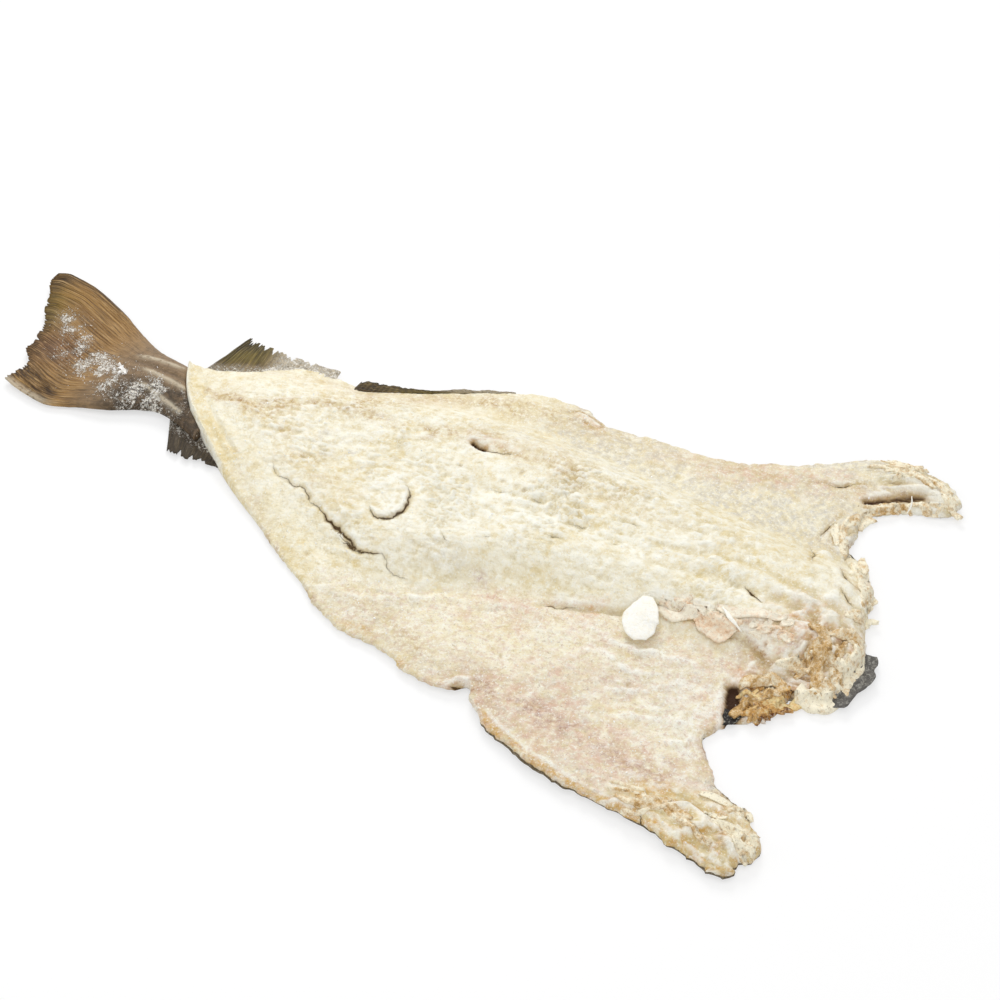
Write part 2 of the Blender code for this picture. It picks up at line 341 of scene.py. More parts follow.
def underside(x, y):
    low_y, high_y = lower_rim(x), upper_rim(x)
    curl = lower_curl(x) * (1 - np.clip((y - low_y) / CURL_SPAN, 0, 1)) ** 2
    return curl + upper_curl(x) * (1 - np.clip((high_y - y) / CURL_SPAN, 0, 1)) ** 2


def loin_share(x, y):
    """1 on the thick loins along the back, 0 on the thin belly flaps."""
    return rise((y - loin_lower(x)) / LOIN_SHOULDER) * rise((loin_upper(x) - y) / LOIN_SHOULDER)


def smooth_top(x, y):
    """The height of the flesh before its relief."""
    low_y, high_y = lower_rim(x), upper_rim(x)
    from_low = 1 - rise((y - low_y) / EDGE_RISE)
    from_high = 1 - rise((high_y - y) / EDGE_RISE)
    loins = loin_share(x, y)
    groove = GROOVE_DEPTH * rise((x + 60) / 120) * near(y - 2, 9) * loins
    top = flap(x) + (lower_edge(x) - flap(x)) * from_low + (upper_edge(x) - flap(x)) * from_high
    return underside(x, y) + np.maximum(2.5, top + (crest(x) - flap(x)) * loins - groove)


# %% [markdown]
# ## Marks in the flesh
#
# These are the places that make this fish this fish: the long split in the lower loin, the
# flake that lifted beside it, the vent, the torn groove along the belly cavity and the
# stains. Each is a line or a spot on the board.

# %% Lines and spots
FOLD_LINE = [(-197, 26), (-188, 10), (-179, -2), (-168, -14), (-150, -28), (-130, -42), (-118, -50)]
LONG_SPLIT = [
    (-92, -38), (-81, -40), (-72, -45), (-59, -49), (-49, -51), (-38, -57), (-29, -60),
    (-21, -66), (-8, -70), (2, -76), (10, -79), (19, -79), (24, -77), (30, -78), (38, -82),
    (47, -85), (53, -84), (55, -80)]
SECOND_SPLIT = [(-12, -73), (-5, -77), (7, -79), (15, -80)]
LIFTED_FLAKE = [
    (6, -51), (11, -55), (17, -54), (21, -49), (24, -42), (24, -34), (21, -26), (14, -18),
    (6, -13)]
FLANK_LOBE = [(-168, 3), (-150, 2), (-135, 5), (-120, 4), (-104, -3), (-94, -10)]
MAUVE_BAND = [(136, -140), (160, -140), (182, -143), (205, -144), (229, -147), (265, -154)]
COLLAR_FOLD = [(261, -171), (267, -182), (275, -190), (283, -193), (294, -197)]
COLLAR_TOP = [(245, -181), (250, -177), (262, -172), (274, -167), (285, -163)]
COLLAR_SWIRL = [(284, -169), (291, -163), (301, -165), (305, -171), (301, -179), (294, -185)]
NAPE_LOBES = [
    (312, 59, 8), (326, 49, 7), (328, 33, 8), (325, 15, 8), (307, 22, 7), (291, 90, 6), (286, 68, 7)]
NAPE_CREASES = [
    [(272, 72), (279, 64), (284, 50)], [(297, 104), (290, 92), (287, 76)],
    [(320, 42), (309, 46), (300, 58)], [(329, 22), (316, 27), (306, 36)],
    [(283, 112), (279, 96), (276, 80)], [(250, 128), (268, 134), (286, 146)]]
DARK_SLIT = [(253, 5), (262, 0), (270, -4)]
SMALL_SPLITS = [
    [(56, -42), (58, -48), (62, -52), (69, -54)], [(41, -40), (46, -46)],
    [(78, -42), (86, -38), (92, -34)], [(92, 8), (106, 11)], [(157, -2), (170, 0)],
    [(86, -8), (98, -5)], [(120, 2), (146, 7)], [(60, 6), (84, 10)],
    [(110, -20), (134, -14)], [(150, 16), (176, 20)]]
FLAP_LINE = [
    (-10, -112), (30, -106), (53, -95), (77, -82), (97, -74), (122, -65), (140, -58),
    (153, -54), (163, -51), (178, -46), (188, -42), (205, -30), (220, -29), (237, -29),
    (250, -31), (268, -30), (290, -38)]
EYE_HOLE = [(34, 40), (39, 38), (44, 38)]
EYE_TAIL = [(42, 37.5), (50, 37), (58, 39), (68, 43)]
STREAK = [
    (-161, 3), (-146, 6), (-127, 6), (-115, 13), (-98, 21), (-82, 29), (-60, 31), (-44, 33),
    (-19, 31), (2, 34), (25, 50)]
PITS = [
    (79, 29, 2.4), (70, 16, 1.3), (81, 15, 1.5), (87, 14, 1.3), (89, 22, 1.3), (108, 47, 1.8),
    (37, 16, 1.4), (136, -111, 1.5), (219, -93, 1.8), (-22, -92, 1.5), (18, -70, 1.2)]
VENT = (124, -146)
VENT_SLIT = [(119, -146), (124, -146), (129, -142)]
VENT_LIP = [
    (116, -146), (120, -141), (126, -139), (132, -142), (132, -148), (137, -152), (145, -159)]
NECK_CRACK = [(281, -52), (289, -50), (297, -48), (309, -50), (320, -46)]
RED_SPOTS = [(203, -97), (220, -93), (233, -148), (197, -148), (267, -138), (94, -60), (176, -132)]
YELLOW_RIDGES = [(195, 2), (227, 10), (259, 13), (292, 11), (312, 8)]
SALT_RIDGES = [
    [(205, -104), (225, -96), (240, -84), (250, -72)],
    [(170, -60), (190, -66), (212, -66), (236, -60), (254, -58)],
    [(222, -120), (240, -112), (262, -104)], [(186, -76), (214, -84), (236, -76)],
    [(254, -128), (268, -120), (274, -110)]]
UPPER_RIM_FLAKE = [(72, 116), (78, 122), (88, 119), (98, 113), (94, 108), (86, 110)]
CAVITY = [(277, -65), (281, -72), (284, -81), (286, -91)]
HIGH_HOLLOW = [(292, 131), (303, 139), (315, 147), (325, 151)]
GILT_LINE = [(283, -184), (296, -189), (303, -188), (306, -175), (308, -167), (301, -160)]

# %% [markdown]
# ## The flesh
#
# The flesh could be one smooth form with a bump map, but its splits and lifted flakes cast
# real shadows, so the grid is fine enough to carry them: a point every 1.3 mm.

# %% Lay out the flesh
FLESH_ROWS, FLESH_COLUMNS = 404, 232
SKIN_THICKNESS = 1.0


def cut_edges(rows, columns):
    """The plan of the body, ragged at its rims but clean along the fold at the tail."""
    x, y = body_plan(rows, columns, 0.25)
    gap = rim_gap(x, y)
    clean = rise((x + y * 0.9 + 150) / 30)
    x, y = ragged(x, y, gap, 1.4 * clean, 14, 5)
    x, y = ragged(x, y, gap, 0.9 * clean, 4, 9)
    neck = clean * rise((x - 270) / 20)
    x, y = ragged(x, y, gap, 1.8 * neck, 7, 10)
    return x, y, gap


x, y, flesh_gap = cut_edges(FLESH_ROWS, FLESH_COLUMNS)
flesh_x, flesh_y = x, y
loins = loin_share(x, y)
lower_flap = rise((loin_lower(x) + 12 - y) / 14) * rise((x + 30) / 60)
upper_flap = rise((y - loin_upper(x) + 16) / 18) * rise((x - 40) / 60)
fold_gap, _, _ = trail(x, y, FOLD_LINE)
flap_gap, flap_side, flap_along = trail(x, y, FLAP_LINE)
print(f"flesh spans {np.ptp(x):.0f} x {np.ptp(y):.0f} mm")


# %% Give it relief
def creased(x, y, size, seed, octaves=4):
    """A random field of rounded folds with sharp creases between them."""
    return 1 - 2 * np.abs(cloud(x, y, size, seed, octaves))


wide = cloud(x, y, 46, 2, 3)
lumps = cloud(x, y, 15, 3, 3)
grains = cloud(x, y, 6.0, 4, 3)
fine = cloud(x, y, 2.9, 41, 2)
fibres = cloud(x * 0.30 + y * 0.06, y - x * 0.14, 3.4, 6, 3)
shelves = cloud(x * 0.45 + y * 0.1, y, 19, 7, 4)
shelf_edge = (shelves * 4.5) % 1.0
shelf_relief = (shelf_edge - 0.5) * rise((1 - shelf_edge) / 0.14)
shelf_share = rise((cloud(x, y, 34, 8, 3) + 0.15) / 0.5) * rise((x + 100) / 80) * loins
calm_fold = rise((fold_gap - 16) / 40)
rough_patch = 0.45 + 0.75 * rise((cloud(x, y, 44, 9, 3) + 0.45) / 0.8)
roughness = (0.35 + 0.85 * loins * calm_fold) * rough_patch + 0.12 * rise((x - 60) / 80)
relief = 1.2 * wide + roughness * (0.62 * lumps + 0.46 * grains + 0.40 * fine + 0.62 * fibres)
relief = relief + 1.5 * roughness * shelf_relief * shelf_share
lobe_gap, lobe_side, lobe_along = trail(x, y, FLANK_LOBE)
lobe = (lobe_side < 0) * np.exp(-lobe_gap / 16)
lobe = lobe * np.sin(math.pi * np.clip(lobe_along, 0.02, 0.98)) ** 0.5
relief = relief + 2.4 * lobe * rise(lobe_gap / 3)

# %% Cut the splits, lift the flakes and sink the hollows
wobble_x, wobble_y = x + cloud(x, y, 9, 11, 3) * 1.6, y + cloud(x, y, 9, 12, 3) * 1.6
# The cracks, holes, pits and creases, where the material lays a brown stain and paints shade.
crevice_stain_and_shade = np.zeros(x.shape)
lifted = np.zeros(x.shape)
split = np.full(x.shape, 20.0)
split_width = np.zeros(x.shape)


def open_split(line, half, deep, lip, heart=0.6, wobbly=1.0):
    """Cuts a split half wide on each side, keeps its distance, and lifts its left lip."""
    global relief, split, split_width
    gap, side, along = trail(mix(x, wobble_x, wobbly), mix(y, wobble_y, wobbly), line)
    taper = np.sin(math.pi * along) ** 0.5
    near_heart = near(along - heart, 0.14)
    cut = near(gap, 1.8) * taper
    relief = relief - deep * cut * (0.6 + 0.6 * near_heart)
    relief = relief + lip * (side > 0) * np.exp(-gap / 7) * (1 - near(gap, 2.0)) * taper
    closer = gap < np.abs(split)
    split = np.where(closer, gap * side, split)
    gaping = np.clip(0.45 + rise((cloud(x, y, 15, 13, 2) + 0.2) / 0.3) + near_heart, 0, 1)
    width = half * taper * (0.75 + 0.7 * near_heart) * rise((6 - gap) / 3) * gaping
    split_width = np.where(closer, width, split_width)


open_split(LONG_SPLIT, 0.58, 1.6, 0.9)
open_split(SECOND_SPLIT, 0.4, 0.8, 0.3)
open_split(EYE_TAIL, 0.55, 1.6, 0.0, heart=0.1, wobbly=0.3)
open_split(DARK_SLIT, 0.75, 1.4, 0.6, heart=0.4, wobbly=0.3)
open_split(COLLAR_FOLD, 0.55, 1.4, 0.8)
open_split(NECK_CRACK, 1.0, 2.4, 1.0)
open_split(VENT_SLIT, 1.0, 1.0, 0.0, wobbly=0.2)
for line in NAPE_CREASES:
    open_split(line, 0.35, 1.2, 1.2)
for line in SMALL_SPLITS:
    open_split(line, 0.18, 0.6, 0.5)
open_split(FLAP_LINE[-8:-2], 0.55, 0.6, 0.0, heart=0.7)
open_split(FLAP_LINE[5:9], 0.35, 0.4, 0.0)
gap, side, along = trail(mix(x, wobble_x, 0.3), mix(y, wobble_y, 0.3), LIFTED_FLAKE)
taper = np.sin(math.pi * np.clip(along * 0.86 + 0.10, 0, 1)) ** 0.5
flake = (side > 0) * np.exp(-gap / 12) * (1 - near(gap, 1.0)) * taper
below = (side < 0) * rise((0.86 - along) / 0.3) * taper
relief = relief + 2.2 * flake - 2.0 * below * near(gap, 2.4)
closer = (gap < np.abs(split)) & (gap < 10)
split = np.where(closer, gap * side + 0.4, split)
split_width = np.where(closer, 0.6 * rise((0.9 - along) / 0.3) * taper * rise((6 - gap) / 3), split_width)
lifted = np.maximum(lifted, flake)
gap, side, along = trail(x, y, EYE_HOLE)
eye = near(gap, 2.0)
relief = relief - 4.5 * eye
crevice_stain_and_shade = np.maximum(crevice_stain_and_shade, 1.15 * eye)
for pit_x, pit_y, half in PITS:
    pit = spot(wobble_x, wobble_y, pit_x, pit_y, half, half)
    relief = relief - 1.2 * pit
    crevice_stain_and_shade = np.maximum(crevice_stain_and_shade, 0.36 * pit)
print(f"relief from {relief.min():.1f} to {relief.max():.1f} mm")

# %% The belly cavity's edge, the salt ridges and the vent
def spots(rows):
    """The sum of spots on the flesh. Each row is a strength, a place, half-widths and a turn."""
    return sum(strength * spot(x, y, *row) for strength, *row in rows)


torn = rise((flap_along - 0.45) / 0.15)
step = rise(flap_side * flap_gap / 5 * 0.5 + 0.5)
relief = relief + torn * 2.2 * (step - 0.5) * near(flap_gap, 14) - torn * 2.4 * near(flap_gap, 2.2)
relief = relief + 0.8 * near(flap_gap - 4, 3) * (flap_side < 0) * (1 - torn)
open_torn = torn * rise((cloud(x, y, 12, 21, 2) + 0.3) / 0.6)
crevice_stain_and_shade = np.maximum(crevice_stain_and_shade, 0.40 * open_torn * near(flap_gap, 1.5))
for line in SALT_RIDGES:
    gap, side, along = trail(wobble_x, wobble_y, line)
    ridge = near(gap, 2.8) * np.sin(math.pi * np.clip(along, 0, 1)) ** 0.5
    relief = relief + 1.3 * ridge * (1 + 0.8 * grains)
    lifted = np.maximum(lifted, 0.9 * ridge)
ridge_gap, _, _ = trail(wobble_x, wobble_y, YELLOW_RIDGES)
relief = relief + 1.3 * near(ridge_gap, 5) - 1.0 * near(ridge_gap - 9, 3)
vent = spot(x, y, *VENT, 5.0, 2.4, 8)
lip_gap, _, _ = trail(x, y, VENT_LIP)
vent_lip = near(lip_gap, 2.4)
relief = relief + 2.0 * vent_lip - 3.0 * vent
crevice_stain_and_shade = np.maximum(crevice_stain_and_shade, 0.95 * vent)
flake_gap, _, _ = trail(wobble_x, wobble_y, UPPER_RIM_FLAKE)
rim_flake = near(flake_gap, 1.3)
relief = relief - 1.0 * rim_flake

# %% Swellings and dents that stand alone
relief = relief + spots([
    (1.8, 44, 46, 13, 4.0, 4), (2.6, 125, -139, 6, 3.4, 25), (2.0, 129, -144, 2.5, 5),
    (1.6, 86, 118, 10, 5, -20), (-1.6, 294, -171, 5, 4), (2.0, 316, 140, 16, 2.5, 14),
    (5.0, 322, 160, 24, 9, -10), (5.0, 296, -174, 32, 12, -8), (3.0, 326, -172, 12, 18)])
for lobe_x, lobe_y, half in NAPE_LOBES:
    bump = spot(wobble_x, wobble_y, lobe_x, lobe_y, half, half * 0.8)
    relief = relief + 2.2 * bump - 4.0 * bump * (1 - bump) * rise((x - 270) / 10)

# %% The torn neck
cavity_gap, _, _ = trail(x + 1.5 * (wobble_x - x), y + 1.5 * (wobble_y - y), CAVITY)
cavity = np.exp(-(cavity_gap / 5.0) ** 4)
nape = rise((x - 262) / 34) * rise((y + 60) / 12) * rise((30 - y) / 34)
lip = rise((x - 296) / 22) * rise((y + 56) / 10) * rise((16 - y) / 22)
tattered = rise((x - 280) / 10) * rise((-44 - y) / 8) * rise((y + 98) / 12)
neck_folds = creased(x, y, 15, 14, 4)
neck_fine = creased(x, y, 6.5, 15, 3)
neck_share = np.clip(0.45 * nape + lip + tattered, 0, 1)
neck_relief = neck_share * (3.8 * neck_folds + 1.4 * neck_fine - 1.8)
relief = relief - 5.0 * cavity + neck_relief * (1 - cavity)

# %% The two collars
collar_low = rise((-146 - y + 0.16 * (x - 280)) / 12) * rise((x - 236) / 34)
collar_high = rise((y - 134) / 10) * rise((x - 280) / 30)
low_folds = creased(x * 0.55 + y * 0.4, y * 1.2 - x * 0.1, 17, 16, 4)
low_fine = creased(x, y, 7.5, 17, 3)
high_folds = creased(x * 0.35 + y * 0.12, y * 1.25 - x * 0.25, 9, 18, 4)
low_tip = collar_low * rise((x - 300) / 20)
streaky = cloud(x * 0.25 + y * 0.08, y * 1.0 + x * 0.35, 5, 19, 3)
relief = relief + collar_low * (2.4 * low_folds - 0.8) + collar_high * (2.6 * high_folds - 0.6)
relief = relief + low_tip * (1.6 * low_fine - 0.4 + 1.4 * streaky)
swirl_gap, _, _ = trail(x, y, COLLAR_SWIRL)
swirl = near(swirl_gap, 2.8)
top_gap, top_side, _ = trail(wobble_x, wobble_y, COLLAR_TOP)
collar_step = near(top_gap, 9) * (top_side < 0) * rise(top_gap / 1.5)
below_collar = rise((x - 138) / 14) * rise((-150 - y) / 8)
rim_ridge = near(flesh_gap - 5.5, 1.5) * below_collar
hollow_gap, _, _ = trail(x, y, HIGH_HOLLOW)
hollow = near(hollow_gap, 3.0)
relief = relief + 2.2 * swirl + 1.8 * collar_step + 0.9 * rim_ridge - 4.2 * hollow
# The cavity and the high hollow are painted dark as shade.
crevice_stain_and_shade = np.maximum(crevice_stain_and_shade, np.maximum(1.1 * cavity, 0.95 * hollow * np.clip(0.8 + lumps, 0, 1)))
# The bottoms of the folds at the neck and the collars, where shade is painted in brown and in dark.
crease_shade = -(neck_share * neck_folds + collar_low * low_folds + collar_high * high_folds)
fine_creases = -(neck_share * neck_fine + low_tip * low_fine)
crease_shade = np.clip(crease_shade - 0.15, 0, 1) + 0.7 * np.clip(fine_creases - 0.1, 0, 1)
crease_shade = np.clip(crease_shade, 0, 1)
crevice_stain_and_shade = np.maximum(crevice_stain_and_shade, 0.72 * crease_shade)

# %% Round the rims and set the heights
soft = mix(3.0, 6.0, rise((loins - 0.2) / 0.5))
edge = np.sqrt(np.clip(1 - (1 - np.clip(flesh_gap / soft, 0, 1)) ** 2, 0, 1))
floor_of_flesh = underside(x, y) + SKIN_THICKNESS
calm = 1 - 0.5 * near(flesh_gap, 8)
fold_swell = 3.0 * near(fold_gap, 14) * rise((-118 - x) / 30)
thin_rim = 2.2 * near(flesh_gap, 10) * rise((x + 130) / 60)
rolled = 1.6 * near(fold_gap - 1.8, 1.8) - 1.2 * near(fold_gap - 6, 3)
rolled = rolled - 1.2 * near(fold_gap - 13, 1.6) + 0.9 * near(fold_gap - 17, 3)
rolled = rolled * rise((-108 - x) / 14)
body = smooth_top(x, y) + fold_swell + rolled - thin_rim - floor_of_flesh + relief * calm
flesh_top = floor_of_flesh + np.maximum(1.4, body) * mix(0.22, 1, edge)
HIGHEST = high.z / MM + 3.0
flesh_top = np.minimum(flesh_top, HIGHEST)


def smoothed(field, cells):
    """The field with each point replaced by the mean of its neighbours in a square of cells."""
    for axis in (0, 1):
        padded = np.concatenate([np.repeat(field.take([0], axis), cells, axis), field,
                                 np.repeat(field.take([-1], axis), cells, axis)], axis)
        total = np.cumsum(padded, axis)
        zero = np.zeros_like(total.take([0], axis))
        total = np.concatenate([zero, total], axis)
        size = 2 * cells + 1
        count = field.shape[axis]
        ahead = total.take(range(size, size + count), axis)
        field = (ahead - total.take(range(count), axis)) / size
    return field


# Where the relief stands below its local mean the material paints shade, and where it stands above, a
# highlight.
standing = relief - smoothed(relief, 4)
shaded_hollows = np.clip(-standing / 0.9, 0, 1)
highlit_peaks = np.clip(standing / 0.9, 0, 1)
print(f"hollows {shaded_hollows.mean():.2f}, peaks {highlit_peaks.mean():.2f}")


# %% [markdown]
# ## Stains and tones
#
# Salted flesh is not one white. Fat yellows it, blood browns it, the belly lining dries
# grey or pink and salt greys it. Each tone is a mask from 0 to 1: placed one by one, then
# broken up by a random field so that it has no clean edge.
# Two of them also carry painted shade: the tan at the foot of the flank lobe and along the neck's creases,
# and the brown in the creases and the high hollow.

# %% Break up a mask
def broken(mask, size, seed, amount=0.7):
    """A mask with a blotchy edge."""
    return np.clip(mask * (1 + amount * 1.6 * cloud(x, y, size, seed, 4)), 0, 1)


def patches(size, seed, least=0.0, soft=0.5):
    """Random patches that cover the part of the flesh where the field is over the least."""
    return rise((cloud(x, y, size, seed, 4) - least) / soft)


# %% Tan stains, and painted shade by the flank lobe and in the neck's creases
streak_gap, _, _ = trail(wobble_x, wobble_y, STREAK)
tan_and_shade = 0.95 * near(streak_gap, 6.0) * patches(14, 31, -0.30) + spots([
    (0.60, 60, 104, 66, 14, 10), (0.50, 118, 44, 50, 18, -8), (0.60, 40, 54, 20, 7, 12),
    (0.45, 60, 41, 28, 5, 0), (0.55, -128, 1, 20, 6, -14), (0.50, -106, 60, 34, 6, 14),
    (0.35, 288, 100, 10, 36, 0), (0.40, -28, -42, 30, 14, -25), (0.45, 205, 118, 62, 10, 10),
    (0.50, 60, -122, 52, 12, -12), (0.40, -20, 84, 70, 9, 20), (0.45, -120, 8, 44, 8, -14),
    (0.75, -58, 48, 38, 13, 28), (0.35, -74, -26, 34, 12, -30), (0.30, 170, 40, 60, 14, -6),
    (0.25, 150, -140, 50, 18, -10), (0.35, -90, -58, 40, 8, -36)])
# Painted shade along the neck's creases.
for line in NAPE_CREASES:
    gap, _, _ = trail(wobble_x, wobble_y, line)
    tan_and_shade = tan_and_shade + 0.6 * near(gap, 4)
# Tan in the rim flake, and painted shade at the foot of the flank lobe's raised edge.
tan_and_shade = tan_and_shade + 0.7 * rim_flake + 0.8 * (lobe_side > 0) * near(lobe_gap, 5) * rise((x + 172) / 10)
tan_and_shade = broken(tan_and_shade, 12, 32)

# %% Pink, grey and purple of the belly's lining
tatter_region = rise((x - 268) / 14) * rise((-42 - y) / 8) * rise((y + 100) / 12)
mauve_gap, _, _ = trail(wobble_x, wobble_y, MAUVE_BAND)
mauve = near(mauve_gap, 10)
pink = 0.62 * lower_flap * rise((x - 60) / 60) * patches(30, 33, -0.5, 0.8) + 0.7 * nape
pink = pink + spots([
    (0.60, 190, -138, 46, 20, -8), (0.3, -50, 68, 60, 10, 16), (1.0, 214, 118, 54, 13, 12),
    (0.7, 246, -153, 28, 15, 28), (0.5, 262, 140, 34, 12, 30)])
pink = pink * (1 - 0.75 * spot(x, y, 226, -80, 44, 26, 10))
pink = pink + 0.8 * tatter_region + 0.5 * mauve + 0.4 * near(mauve_gap, 26)
pink = pink + 0.6 * spot(x, y, 321, 50, 7, 9)
pink = broken(pink, 9, 34) * (1 - 0.85 * collar_low)
grey = 0.95 * upper_flap * (1 - 0.5 * spot(x, y, 212, 120, 60, 12, 12))
grey = grey + 0.45 * lower_flap * patches(26, 35, -0.3, 0.6)
grey = grey + 0.60 * spot(x, y, -35, -8, 56, 20, -14) * patches(7, 48, -0.3)
grey = grey + spots([
    (0.5, 60, 66, 34, 14, 10), (0.35, 60, -60, 44, 12, -4), (0.55, 276, -50, 16, 12),
    (0.9, 293, -144, 9, 6), (0.35, 294, -171, 5, 4), (0.4, 150, 84, 70, 20, 4)])
grey = broken(grey, 7, 36) * (1 - 0.7 * collar_low)
purple = 1.0 * mauve * patches(8, 49, -0.35, 0.5) + 0.6 * spot(x, y, 138, -138, 6, 8)
for spot_x, spot_y in RED_SPOTS:
    purple = purple + 0.8 * spot(wobble_x, wobble_y, spot_x, spot_y, 6, 4)
purple = purple + 0.9 * spot(x, y, 284, -27, 26, 12, 10) * patches(6, 50, -0.25, 0.4)
purple = np.clip(purple, 0, 1)

# %% Yellow fat
band = np.exp(-((fold_gap - 8.0) / 4.5) ** 4) * rise((-108 - x) / 16)
yellow = 1.9 * band + 0.8 * near(ridge_gap, 7)
yellow = yellow + 1.7 * collar_low * (1 - 0.6 * low_tip) + 0.45 * collar_high
yellow = yellow + 0.55 * near(flesh_gap, 5) * rise((0 - y) / 40) + 0.35 * eye + 0.55 * lip
yellow = yellow + 0.60 * patches(44, 37, 0.0, 0.6) * (1 - lower_flap)
yellow = yellow + 0.55 * patches(10, 38, 0.05, 0.5)
yellow = yellow + spots([(0.9, 81, -144, 4, 3), (0.8, 51, -132, 7, 5), (0.9, 128, -141, 5, 5)])
yellow = broken(yellow, 6, 39, 0.5) * (1 - near(fold_gap, 2.6) * rise((-108 - x) / 10))

# %% Brown and orange of old blood, and painted shade in the creases and the high hollow
# Besides old blood, the high hollow and the fold creases get painted shade here.
brown_and_crevice_shade = 0.55 * tattered + 0.6 * rim_flake + 0.75 * hollow + 0.8 * crease_shade
brown_and_crevice_shade = brown_and_crevice_shade + spots([
    (0.35, 44, 46, 12, 6), (0.7, 136, -136, 5, 8, -30), (0.9, 304, -146, 5, 3),
    (0.45, 272, -22, 14, 4), (0.9, 325, -32, 9, 3), (0.7, 312, -32, 5, 12, -30)])
brown_and_crevice_shade = brown_and_crevice_shade + 0.5 * collar_step * (top_gap < 3)
brown_and_crevice_shade = brown_and_crevice_shade + 0.8 * torn * near(flap_gap, 4.5) * rise((x - 204) / 14) * patches(9, 43, -0.2)
brown_and_crevice_shade = brown_and_crevice_shade + 0.15 * collar_low * patches(11, 44, 0.05, 0.3)
brown_and_crevice_shade = brown_and_crevice_shade + 0.2 * collar_high * patches(8, 24, 0.0, 0.3)
brown_and_crevice_shade = brown_and_crevice_shade + 0.55 * nape * patches(8, 45, 0.05, 0.3)
brown_and_crevice_shade = brown_and_crevice_shade + 0.50 * near(streak_gap, 4) * patches(8, 46, 0.0, 0.25)
upper_rim_share = rise((x - 60) / 20) * rise((y - 60) / 20)
lower_rim_share = rise((y + 140) / 10) * rise((-60 - y) / 20)
brown_and_crevice_shade = brown_and_crevice_shade + 0.5 * near(flesh_gap, 2.5) * upper_rim_share * patches(10, 25, 0.0, 0.3)
brown_and_crevice_shade = brown_and_crevice_shade + 0.5 * near(flesh_gap, 4) * lower_rim_share * patches(16, 27, 0.1, 0.3)
brown_and_crevice_shade = broken(brown_and_crevice_shade, 5, 47)
orange = 0.6 * eye + 0.9 * tatter_region + 0.5 * lip
orange = orange + spots([
    (1.0, 44, 46, 17, 6, 3), (0.8, 88, 113, 12, 5, -20), (0.5, 300, 142, 22, 6, 30),
    (0.9, 271, -21, 16, 4)])
orange = orange + 0.8 * torn * near(flap_gap, 7) * patches(9, 28, -0.2, 0.4)
orange = orange + 0.8 * nape * patches(12, 29, -0.1, 0.4)
orange = orange + 0.6 * collar_low * patches(12, 30, 0.0, 0.3)
orange = broken(orange, 7, 40)

# %% White salt crust and the golden rim
white = 0.65 * loins * (1 - np.clip(tan_and_shade * 1.3, 0, 1)) * (1 - band) + lifted
white = white + rim_ridge + vent_lip + 0.9 * swirl
white = white + 0.5 * low_tip * np.clip(0.4 + streaky, 0, 1)
crust = spots([(1.0, 268, -84, 22, 14), (1.0, 276, -120, 16, 24), (1.0, 240, -84, 26, 9)])
white = white + 1.4 * crust * patches(8, 26, -0.3, 0.5)
gilt_gap, _, _ = trail(x, y, GILT_LINE)
gold = np.exp(-((flesh_gap - 1.6) / 2.8) ** 4) * below_collar * (0.9 + 0.5 * cloud(x, y, 9, 55, 3))
for blob in ((299, -184, 9, 6, 0), (306, -172, 3.5, 8, 0), (260, -181, 15, 5, -12), (278, -186, 14, 5, -15)):
    gold = gold + 0.85 * spot(wobble_x, wobble_y, *blob)
gold = gold + near(gilt_gap, 2.8) + spots([(0.8, 82, -144, 6, 3), (0.7, 42, -132, 14, 5, -10)])
gold = 1.15 * gold + 0.9 * collar_low * (1 - 0.5 * low_tip) * patches(9, 57, -0.1, 0.4)
gold = np.clip(gold, 0, 1)
white = white + near(fold_gap, 2.4) * rise((-112 - x) / 10)
white = white + spots([(0.5, 70, -4, 70, 16, 0), (0.45, 228, -78, 40, 22, 10)])
white = np.clip(white, 0, 1)

flesh = sheet("flesh", x, y, flesh_top, floor_of_flesh, {
    "tan_and_shade": tan_and_shade, "pink": pink, "grey": grey, "yellow": yellow, "brown_and_crevice_shade": brown_and_crevice_shade, "white": white,
    "purple": purple, "orange": orange, "gold": gold, "hollow": shaded_hollows, "peak_highlight": highlit_peaks,
    "crevice_stain_and_shade": np.clip(crevice_stain_and_shade, 0, 1), "split": split, "split_width": split_width,
    "lined": lower_flap * (1 - collar_low)}, open_below=True)


# %% [markdown]
# ## How materials are made here
#
# Colours are written as hex values, as a paint chart gives them, and one function turns
# them to the linear values that the shader wants. One small function adds any node. On the
# real fish every tone is a stain over the tone below, so a material is a stack of stains,
# and each has shares that say where it lies: a mask, a field of grains, a strength.

# %% Colours and nodes
def colour(text):
    channels = [int(text[i:i + 2], 16) / 255 for i in (1, 3, 5)]
    linear = [c / 12.92 if c <= 0.04045 else ((c + 0.055) / 1.055) ** 2.4 for c in channels]
    return (*linear, 1.0)


def add(tree, kind, inputs=None, out=0, **settings):
    """Adds a node and gives back one of its outputs. An input is a value or another output."""
    made = tree.nodes.new("ShaderNode" + kind)
    for key, value in settings.items():
        setattr(made, key, value)
    for key, value in (inputs or {}).items():
        if isinstance(value, bpy.types.NodeSocket):
            tree.links.new(value, made.inputs[key])
        else:
            made.inputs[key].default_value = value
    return made.outputs[out] if made.outputs else made


def new_material(name, roughness, ior=1.45, **sockets):
    material = bpy.data.materials.new(name)
    material.use_nodes = True
    shader = material.node_tree.nodes["Principled BSDF"]
    shader.inputs["Roughness"].default_value = roughness
    shader.inputs["IOR"].default_value = ior
    for key, value in sockets.items():
        shader.inputs[key.replace("_", " ")].default_value = value
    return material, material.node_tree, shader


